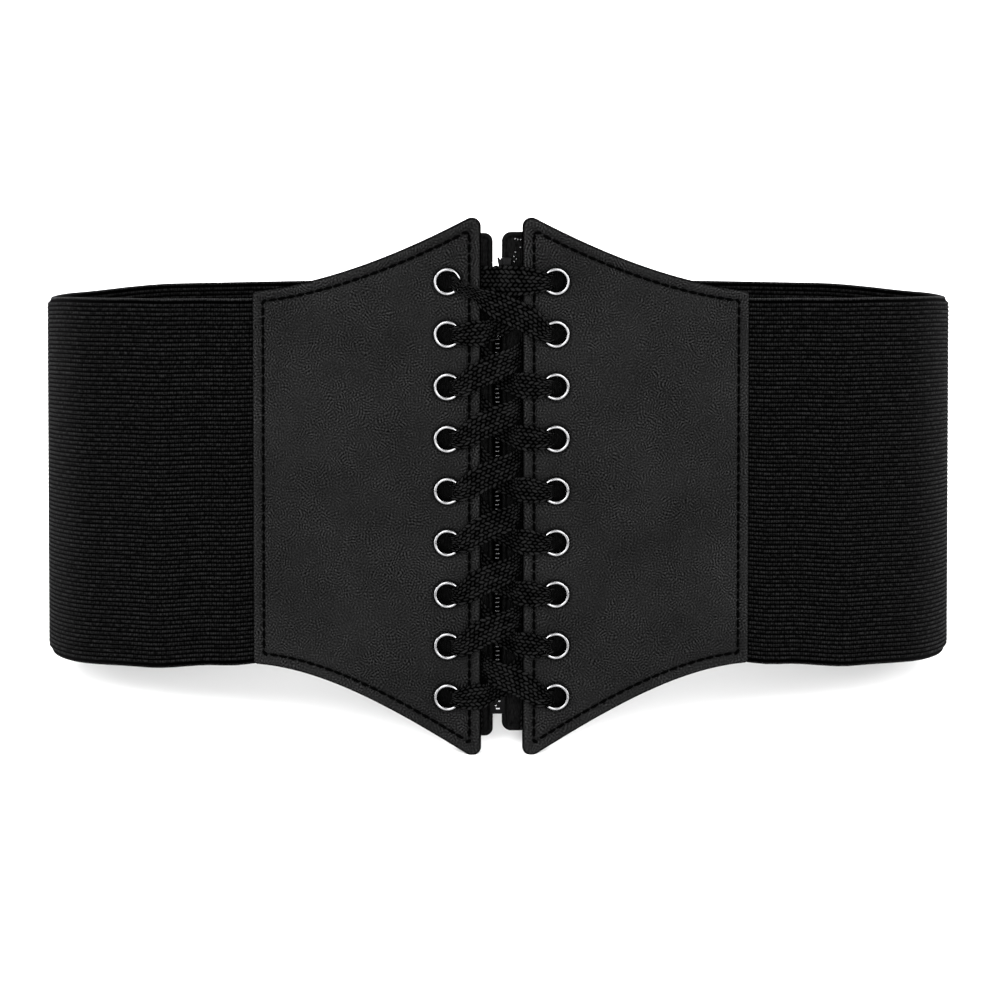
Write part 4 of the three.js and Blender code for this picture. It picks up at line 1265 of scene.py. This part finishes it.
def make_placket(name, way):
    below_point, above_point, corner = PLACKET_ENDS[name]
    edge = way * ZIP_CENTRE + ZIP_HALF_GAP
    across = PLACKET_REACH - edge
    flat = np.linspace(NEAR_RIM[-1], across - 1.0, 16)[1:]
    run = (edge + np.concatenate([NEAR_RIM, flat, [across - 0.5, across - 0.15, across]]))[:, None]
    cut = corner - np.sqrt(corner**2 - np.clip(corner - (run - edge), 0, corner) ** 2)
    under = np.maximum(run, GAP_HALF + 2 * POINT_RADIUS)
    end_top, end_bottom = UPPER_POINT - below_point, LOWER_POINT + above_point
    top = np.minimum(end_top - cut, panel_edge(under, 1) - PLACKET_INSET)
    bottom = np.maximum(end_bottom + cut, panel_edge(under, -1) + PLACKET_INSET)
    middle = np.linspace(0, 1, 56)[1:-1]
    low, high = bottom + NEAR_RIM, top - NEAR_RIM[::-1]
    z = np.hstack([low, low[:, -1:] + (high[:, :1] - low[:, -1:]) * middle, high])
    from_edge = np.minimum(run - edge, PLACKET_REACH - run)
    from_end = np.minimum(end_top - z, z - end_bottom)
    in_corner = (from_edge < corner) & (from_end < corner)
    rounded = corner - np.hypot(corner - from_edge, corner - from_end)
    rim = np.where(in_corner, rounded, np.minimum(from_edge, from_end))
    rim = np.maximum(np.minimum(rim, np.minimum(top - z, z - bottom)), 0)
    thick = placket_thickness(rim)
    seam = smooth((run - PLACKET_FLAT_TO) / (PLACKET_SEAM_FROM - PLACKET_FLAT_TO))
    level = PLACKET_LEVEL + seam * (-CLEARANCE - PLACKET_THICKNESS / 2 - PLACKET_LEVEL)
    faces = [stand(place(way * run, z, level + side * thick / 2)) for side in (1, -1)]
    rows, columns = z.shape
    front = grid_faces(rows, columns)
    count = rows * columns
    quads = [f[::-1] if way > 0 else f for f in front]
    quads = [f[::-1] for f in quads] + [tuple(k + count for k in f) for f in quads]
    uv = np.stack(np.broadcast_arrays(run, z), axis=-1).reshape(-1, 2) * MM
    piece = mesh_piece("placket_tape_" + name, np.stack(faces), quads, TAPE, np.vstack([uv, uv]))
    shape = bmesh.new()
    shape.from_mesh(piece.data)
    bmesh.ops.remove_doubles(shape, verts=shape.verts, dist=CLOSE)
    shape.to_mesh(piece.data)
    shape.free()
    piece.data.shade_smooth()
    print(f"{piece.name}: {len(piece.data.polygons)} faces")
    return piece


for name, way in SIDES:
    placket = make_placket(name, way)
    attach(placket, "root")
    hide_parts("placket_" + name)

# %% [markdown]
# ## The zip
#
# The zip is closed behind the lace. Its teeth are one small rounded bar each, copied up the chain at
# every step, in front of a narrow strip of tape behind the two rolled edges. The slider, its
# lug and its pull, and the box at the bottom are flat plates with softened edges, in front of and behind
# those edges. A few polished pins catch the light, and the last teeth of the right row show at the top,
# in a lighter copy of the zip metal that paints a glint on them.

# %% Teeth of the zip
TOOTH_PITCH = 1.6
TOOTH_SIZE = (2.1, 1.8, 0.75)
SLIDER_TOP = UPPER_POINT - 20.4
SLIDER_BOTTOM = SLIDER_TOP - 8.5
BOX_BOTTOM = LOWER_POINT + 17.0
BOX_TOP = BOX_BOTTOM + 8.4
STEEL = metal_material("zip metal", 0.06, 0.25)
# a lighter copy of the zip metal: a painted glint for the last teeth of the right row
PAINTED_GLINT_STEEL = metal_material("bright zip metal", 0.15, 0.22)
DARK_STEEL = metal_material("blackened metal", 0.004, 0.34)


def rounded_bar(name, size, material, sides=12, rings=7, square=0.5):
    """A bar with well rounded edges round the origin, from its sizes along X, Y and Z in millimetres."""
    turn = np.arange(sides) * math.tau / sides
    rise = np.linspace(-math.pi / 2, math.pi / 2, rings)[1:-1]

    def squared(value):
        return np.sign(value) * np.abs(value) ** square

    ring = np.stack([squared(np.cos(turn)), squared(np.sin(turn))], axis=1)
    points = [np.column_stack([ring * squared(np.cos(a)), np.full(sides, squared(np.sin(a)))]) for a in rise]
    points = np.vstack([*points, [(0, 0, -1), (0, 0, 1)]]) * np.array(size) / 2 * MM
    bands = len(rise)
    faces = [f[::-1] for f in grid_faces(bands, sides, closed=True)]
    south, north = bands * sides, bands * sides + 1
    for k in range(sides):
        m = (k + 1) % sides
        faces.append((south, m, k))
        faces.append((north, (bands - 1) * sides + k, (bands - 1) * sides + m))
    return mesh_piece(name, points, faces, material)


def copies_along(name, tooth, u, z, n, material):
    """Copies of a piece with its X along the belt and its Z out of it."""
    u, z, n = (np.asarray(value, float) for value in np.broadcast_arrays(u, z, n))
    along = lean(belt_directions(u)[0])
    spots = places_piece("tooth_places", stand(place(u, z, n)), along, outwards(u))
    row = grow(name, COPIES, spots, {"Piece": tooth}, material)
    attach(row, "root")
    return row


tooth = rounded_bar("one_tooth", (TOOTH_SIZE[0], TOOTH_SIZE[2], TOOTH_SIZE[1]), STEEL)
chain_low, chain_high = BOX_TOP - 0.7, SLIDER_BOTTOM + 0.7
teeth_z = np.arange(chain_low + 0.6, chain_high - 0.5, TOOTH_PITCH)
sway = np.where(np.arange(len(teeth_z)) % 2, 0.06, -0.06)
teeth = copies_along("zip_teeth", tooth, ZIP_CENTRE + sway, teeth_z, PLACKET_LEVEL, STEEL)
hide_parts("zip_chain")
bpy.data.objects.remove(tooth)

END_TEETH = np.array([
    # u, height below the upper point, distance outwards: the last teeth of the right row
    (4.9, 9.9, -3.9), (5.9, 10.1, -3.8), (6.9, 10.2, -3.8), (6.8, 12.9, -3.6),
    (5.0, 14.6, -3.8), (4.5, 16.1, -3.8), (5.3, 17.0, -3.8), (4.6, 18.0, -3.8),
])
# the last teeth get the lighter copy of the zip metal, a painted glint
end_tooth = rounded_bar("one_end_tooth", (0.65, 0.6, 0.8), PAINTED_GLINT_STEEL)
end_u, end_drop, end_level = END_TEETH.T
copies_along("zip_end_teeth", end_tooth, end_u, UPPER_POINT - end_drop, end_level, PAINTED_GLINT_STEEL)
bpy.data.objects.remove(end_tooth)


# %% Plates of the zip
def bevelled_plate(outline, back_level, front_level, bevel=0.18):
    """Points (u, z, n) and faces of a flat plate with softened edges."""
    shape = bmesh.new()
    face = shape.faces.new([shape.verts.new((u, z, back_level)) for u, z in outline])
    made = bmesh.ops.extrude_face_region(shape, geom=[face])["geom"]
    moved = [v for v in made if isinstance(v, bmesh.types.BMVert)]
    bmesh.ops.translate(shape, verts=moved, vec=(0.0, 0.0, front_level - back_level))
    bmesh.ops.recalc_face_normals(shape, faces=shape.faces)
    bmesh.ops.bevel(shape, geom=list(shape.edges), offset=bevel, segments=2, profile=0.5, affect="EDGES")
    bmesh.ops.triangulate(shape, faces=shape.faces)
    points = np.array([tuple(v.co) for v in shape.verts])
    faces = [tuple(v.index for v in f.verts) for f in shape.faces]
    shape.free()
    return points, faces


def plates_piece(name, plates, material):
    """One piece from several plates, each an outline drawn from the middle of the zip and two levels."""
    points, faces = [], []
    for outline, back_level, front_level in plates:
        drawn, joined = bevelled_plate([(ZIP_CENTRE + u, z) for u, z in outline], back_level, front_level)
        start = sum(len(p) for p in points)
        faces += [tuple(start + k for k in f) for f in joined]
        points.append(drawn)
    points = np.vstack(points)
    piece = mesh_piece(name, stand(place(*points.T)), faces, material)
    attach(piece, "root")
    print(f"{name}: {len(faces)} faces")
    return piece


def rectangle(left, right, bottom, top):
    return [(left, bottom), (right, bottom), (right, top), (left, top)]


PLATE = 0.7
PLATE_LEVEL = PLACKET_LEVEL + PLACKET_CORD / 2 + CLEARANCE
BACK_LEVEL = PLACKET_LEVEL - PLACKET_CORD / 2 - CLEARANCE
SLIDER_HALF = 3.8
SLIDER_NARROW = 2.85
PULL_NECK = 0.9
PULL_HALF = 1.6
PULL_SHOULDER = SLIDER_BOTTOM - 3.5
PULL_ROUND = SLIDER_BOTTOM - 16.5 + 2 * PULL_HALF
LUG_TOP = SLIDER_TOP + 4.1
BOX_HALF = 2.8
BRIDGE_HALF = ZIP_HALF_GAP - CLEARANCE
BRIDGE_LEVELS = (BACK_LEVEL - 0.3, PLATE_LEVEL + 0.3)
PIN_LEVELS = (PLATE_LEVEL + PLATE - 0.3, PLATE_LEVEL + PLATE + 0.35)
TAPE_HALF = 3.0

under_turn = np.linspace(math.pi, math.tau, 9)
pull_end = [(PULL_HALF * math.cos(a), PULL_ROUND + PULL_HALF * math.sin(a)) for a in under_turn]
slider_outline = [
    (-SLIDER_NARROW, SLIDER_BOTTOM), (-PULL_NECK, SLIDER_BOTTOM), (-PULL_NECK, PULL_SHOULDER),
    (-PULL_HALF, PULL_SHOULDER - PULL_NECK), *pull_end, (PULL_HALF, PULL_SHOULDER - PULL_NECK),
    (PULL_NECK, PULL_SHOULDER), (PULL_NECK, SLIDER_BOTTOM), (SLIDER_NARROW, SLIDER_BOTTOM),
    (SLIDER_HALF, SLIDER_TOP), (5.1, SLIDER_TOP), (5.1, LUG_TOP), (1.5, LUG_TOP), (1.1, LUG_TOP - 0.9),
    (0.5, LUG_TOP), (-0.1, LUG_TOP), (0.6, SLIDER_TOP), (-SLIDER_HALF, SLIDER_TOP),
]
slider = plates_piece("zip_slider_and_pull", [
    (slider_outline, PLATE_LEVEL, PLATE_LEVEL + PLATE),
    (rectangle(1.9, 5.0, SLIDER_TOP - 1.0, LUG_TOP - 0.1), PLATE_LEVEL + 0.3, PLATE_LEVEL + 1.4),
    (rectangle(-SLIDER_HALF, SLIDER_HALF, SLIDER_BOTTOM, SLIDER_TOP), BACK_LEVEL - PLATE, BACK_LEVEL),
    (rectangle(-BRIDGE_HALF, BRIDGE_HALF, SLIDER_BOTTOM + 1, SLIDER_TOP - 1), *BRIDGE_LEVELS),
], DARK_STEEL)
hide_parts("zip_slider")
box = plates_piece("zip_retaining_box", [
    (rectangle(-BOX_HALF, BOX_HALF, BOX_BOTTOM, BOX_TOP), PLATE_LEVEL, PLATE_LEVEL + PLATE),
    (rectangle(-BOX_HALF, BOX_HALF, BOX_BOTTOM, BOX_TOP), BACK_LEVEL - PLATE, BACK_LEVEL),
    (rectangle(-BRIDGE_HALF, BRIDGE_HALF, BOX_BOTTOM + 1, BOX_TOP - 1), *BRIDGE_LEVELS),
], DARK_STEEL)
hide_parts("zip_box")
pins = (
    # left, right, bottom and top: one on the pull and five on the box
    (-1.6, 1.5, SLIDER_BOTTOM - 15.7, SLIDER_BOTTOM - 14.8),
    (-1.3, -0.2, BOX_TOP - 1.6, BOX_TOP - 0.9),
    (0.3, 1.5, BOX_TOP - 1.8, BOX_TOP - 1.2),
    (0.2, 1.2, BOX_TOP - 4.0, BOX_TOP - 3.4),
    (-1.0, -0.1, BOX_TOP - 5.6, BOX_TOP - 5.0),
    (-0.6, 1.0, BOX_TOP - 6.8, BOX_TOP - 6.1),
)
plates_piece("zip_pins", [(rectangle(*pin), *PIN_LEVELS) for pin in pins], NICKEL)
strip = rectangle(-TAPE_HALF, TAPE_HALF, BOX_TOP + CLEARANCE, SLIDER_BOTTOM - CLEARANCE)
backing = plates_piece("zip_backing_tape", [(strip, BACK_LEVEL - 0.4, BACK_LEVEL)], THREAD)

# %% [markdown]
# ## The elastic band
#
# Wide elastic is woven over thick rubber cords that lie side by side, and each cord shows as a level rib
# on both faces. Its two edges are plain. The tree makes one flat grid that goes up the front of the band
# and down its back, lifts each of its rows by its place on a rib, closes it into one sheet, and wraps it
# on a guide that runs from one panel round the back to the other. The yarn that crosses the cords makes
# small beads along each rib, drawn by a cell pattern in the finish whose cells are as high as a rib.

# %% A guide for the elastic
ELASTIC_THICKNESS = 1.6
ELASTIC_OVERLAP = 12.0
ELASTIC_SEAM = GAP_HALF + PANEL_WIDTH - ELASTIC_OVERLAP
ELASTIC_LENGTH = 2 * (HALF_LOOP - ELASTIC_SEAM)
ELASTIC_HEIGHT = 134.0
CURL_REACH = 2.6
GUIDE_STATIONS = 260
GUIDE_HEIGHTS = 53
BAND_EDGES = np.array([
    # share of the way to the back, top and bottom as shares of the panels' corners, curl in thicknesses
    (0.00, 0.963, 0.981, 0.00),
    (0.08, 0.953, 1.029, 0.00),
    (0.18, 0.942, 1.077, 0.05),
    (0.28, 0.933, 1.094, 0.40),
    (0.38, 0.912, 1.085, 0.95),
    (0.47, 0.914, 1.090, 0.40),
    (0.60, 0.945, 1.084, 0.05),
    (1.00, 0.953, 1.079, 0.00),
])
BAND_SCALE = np.array([OUTER_TOP, OUTER_BOTTOM, ELASTIC_THICKNESS])
PLAIN_RELIEF = 1.3


def band_edges(share):
    """Top, bottom and curl of the band, smoothly between the rows of the table."""
    index = np.clip(np.searchsorted(BAND_EDGES[:, 0], share, side="left") - 1, 0, len(BAND_EDGES) - 2)
    low_row, high_row = BAND_EDGES[index], BAND_EDGES[index + 1]
    t = smooth((share - low_row[:, 0]) / (high_row[:, 0] - low_row[:, 0]))[:, None]
    return ((low_row + (high_row - low_row) * t)[:, 1:] * BAND_SCALE).T


def elastic_guide():
    run = np.linspace(-0.01, 1.01, GUIDE_STATIONS)
    u = ELASTIC_SEAM + run * ELASTIC_LENGTH
    signed = np.where(u > HALF_LOOP, u - 2 * HALF_LOOP, u)
    share = np.clip((np.abs(signed) - ELASTIC_SEAM) / (HALF_LOOP - ELASTIC_SEAM), 0, 1)
    top, bottom, curl = (row[:, None] for row in band_edges(share))
    height = np.linspace(-0.02, 1.02, GUIDE_HEIGHTS)[None]
    z = bottom + (top - bottom) * height
    from_edge = np.minimum(height, 1 - height) * (top - bottom)
    level = -CLEARANCE - ELASTIC_THICKNESS / 2 - curl * smooth(1 - from_edge / CURL_REACH)
    uv = np.stack(np.meshgrid(run, height[0], indexing="ij"), axis=-1)
    points = stand(place(signed[:, None], z, level))
    off = np.repeat(outwards(signed)[:, None, :], height.size, axis=1)
    return guide_piece("elastic_guide", points, off, uv)


def elastic_tree():
    tree, given, result = new_tree(
        "GeometryNodeTree", "ribbed elastic",
        inputs=[("Geometry", "Geometry", None), ("Guide", "Object", None), ("Length", "Float", 0.64),
                ("Width", "Float", 0.134), ("Ribs", "Int", 83), ("Selvedge", "Float", 0.0016),
                ("Thickness", "Float", 0.0016), ("Groove", "Float", 0.00042), ("Stations", "Int", 128),
                ("Material", "Material", None)],
        outputs=[("Geometry", "Geometry")])
    # rows of the sheet: up the front and down the back, four to a rib and three to a selvedge
    on_face = given["Ribs"] * 4.0 + 5.0
    last = on_face * 2.0 - 1.0
    sheet = wire(tree, "GeometryNodeMeshGrid", {
        "Size X": given["Length"], "Size Y": 1.0, "Vertices X": given["Stations"], "Vertices Y": last + 1.0})
    x, y, _ = parts_of(tree, position(tree))
    row = ((y + 0.5) * last).maths("ROUND")
    behind = row > on_face - 0.5
    step = row * (1.0 - behind) + (last - row) * behind
    # heights: ribs between the selvedges, whose valleys are drawn together
    on_rib = step - 2.0
    slide = (on_rib * (math.pi / 2)).maths("SINE") * 0.07
    pitch = (given["Width"] - given["Selvedge"] * 2.0) / given["Ribs"]
    rib_y = given["Selvedge"] + (on_rib * 0.25 - slide) * pitch
    past_low = step > 1.5
    past_high = step > given["Ribs"] * 4.0 + 2.0 + 0.5
    ribbed = past_low - past_high
    low_y = step * 0.12 * given["Selvedge"]
    from_top = on_face - 1.0 - step
    high_y = given["Width"] - from_top * 0.12 * given["Selvedge"]
    y = rib_y * ribbed + low_y * (1.0 - past_low) + high_y * past_high
    # levels: crests and valleys, and nothing at the edges, where front and back meet
    crest = abs((on_rib * (math.pi / 4)).maths("SINE")).maths("POWER", 0.8)
    rise = crest * ribbed + (1.0 - ribbed) * PLAIN_RELIEF
    depth = abs(1.0 - rise) * given["Groove"]
    edge = (step > 0.5) * (from_top > 0.5)
    end = abs(x) < given["Length"] * 0.4999
    z = (given["Thickness"] * 0.5 - depth) * (edge * end) * (1.0 - behind * 2.0)
    laid = wire(tree, "GeometryNodeSetPosition", {
        "Geometry": keep_value(tree, sheet, "crest", rise),
        "Position": vector(tree, x + given["Length"] * 0.5, y, z)})
    laid = wire(tree, "GeometryNodeMergeByDistance", {"Geometry": laid, "Distance": 1e-6})
    return finish_wrapped(tree, given, result, laid, kept_at_points(tree, "crest", "FLOAT"))


# %% The elastic band
RIBS = 83
SELVEDGE = 1.6
BEAD_PITCH = 0.95


def elastic_material():
    """Matt black yarn, each rib a row of uneven beads, with painted shade in the valleys between the ribs, a
    painted sheen where the band is seen edge-on, and a painted highlight on its plain edges.
    """
    material, tree, surface, spot = new_material("black elastic", Roughness=0.85)
    along, up, _ = parts_of(tree, kept_map(tree, "thread"))
    rise = kept_value(tree, "relief")
    rib_pitch = (ELASTIC_HEIGHT - 2 * SELVEDGE) / RIBS
    cells = vector(tree, along / (BEAD_PITCH * MM), up / (rib_pitch * MM) - (SELVEDGE / rib_pitch + 0.65))
    cell = wire(tree, "ShaderNodeTexVoronoi", {"Vector": cells, "Scale": 1.0, "Randomness": 0.4},
                "Distance", voronoi_dimensions="2D")
    bead = remap(tree, cell, 0.1, 0.55, 1.0, 0.0)
    worn = remap(tree, noise(tree, spot, 420.0, detail=4.0, roughness=0.7), 0.35, 0.65, 0.45, 1.0)
    # Painted shade: the colour darkens from the crest of a rib into the valley beside it
    lit = remap(tree, rise, 0.62, 1.0) * remap(tree, bead, 0.0, 1.0, 0.12, 1.0) * worn
    # a painted highlight keeps the plain edges a little lit
    lit = lit.maths("MAXIMUM", remap(tree, rise, 1.02, 1.2) * 0.4)
    # painted sheen: the colour lightens where the band is seen edge-on
    grazing = wire(tree, "ShaderNodeLayerWeight", {"Blend": 0.5}, "Facing")
    painted_sheen = remap(tree, grazing, 0.25, 0.85)
    crest = mix_colours(tree, painted_sheen, grey(0.0098), grey(0.021))
    painted_valley_shade = mix_colours(tree, painted_sheen, grey(0.0001), grey(0.0035))
    plug(surface, {"Base Color": mix_colours(tree, lit, painted_valley_shade, crest), "Specular IOR Level": lit * 0.1})
    raise_surface(surface, bead, 0.00018)
    return material


ELASTIC = elastic_material()
elastic_sheet = elastic_guide()
elastic = grow("ribbed_elastic", elastic_tree(), empty_source(), {
    "Guide": elastic_sheet, "Length": ELASTIC_LENGTH * MM, "Width": ELASTIC_HEIGHT * MM,
    "Ribs": RIBS, "Selvedge": SELVEDGE * MM}, ELASTIC)
bpy.data.objects.remove(elastic_sheet)
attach(elastic, "root")
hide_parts("elastic_band")
ELASTIC_LENGTH * MM
print(f"the elastic is {ELASTIC_LENGTH:.0f} mm long and about {ELASTIC_HEIGHT:.0f} mm high")

# %% [markdown]
# ## The floor and the light
#
# The belt stands on a plain pale floor under soft studio light: a bright even surround, a large key light
# in front on the left and a weaker one on the right, a low one that fills the shadow under the belt, one
# above, one at each side that brings out the folds, and one behind. Dark goods need light that comes from
# large surfaces, because what shows of them is mostly the soft reflection of what is around.

# %% The floor and the light
FLOOR_TONE = (0.84, 0.84, 0.84, 1.0)
SKY = 0.7
MIDDLE_OF_BELT = (0.0, 0.0, 0.09)
SOFTBOXES = (
    # name, place and size in metres, power in watts
    ("key", (-1.0, -1.6, 1.6), (1.4, 1.0), 54.0),
    ("fill", (1.1, -1.6, 1.4), (1.4, 1.0), 45.0),
    ("top", (0.0, 0.3, 2.4), (3.0, 2.0), 55.0),
    ("left side", (-1.7, -0.3, 0.5), (1.2, 0.9), 26.0),
    ("right side", (1.7, -0.3, 0.5), (1.2, 0.9), 24.0),
    ("low front", (0.0, -2.2, 0.7), (2.4, 0.8), 38.0),
    ("behind", (0.0, 2.0, 1.3), (2.0, 1.2), 60.0),
)


def stage_floor():
    bpy.ops.mesh.primitive_plane_add(size=12.0)
    floor = bpy.context.object
    floor.name = "floor"
    material, _, surface, _ = new_material("pale floor", Roughness=0.8, Specular_IOR_Level=0.1)
    plug(surface, {"Base Color": FLOOR_TONE})
    floor.data.materials.append(material)


def softbox(name, spot, size, power):
    data = bpy.data.lights.new(name, "AREA")
    data.shape = "RECTANGLE"
    data.size, data.size_y = size
    data.energy = power
    light = add_object(name, data)
    light.location = spot
    light.rotation_mode = "QUATERNION"
    light.rotation_quaternion = (Vector(MIDDLE_OF_BELT) - light.location).to_track_quat("-Z", "Y")


stage_floor()
for row in SOFTBOXES:
    softbox(*row)
world = bpy.data.worlds.new("studio")
world.use_nodes = True
plug(world.node_tree.nodes["Background"], {"Color": (1.0, 1.0, 1.0, 1.0), "Strength": SKY})
bpy.context.scene.world = world
bpy.context.scene.view_settings.view_transform = "Standard"
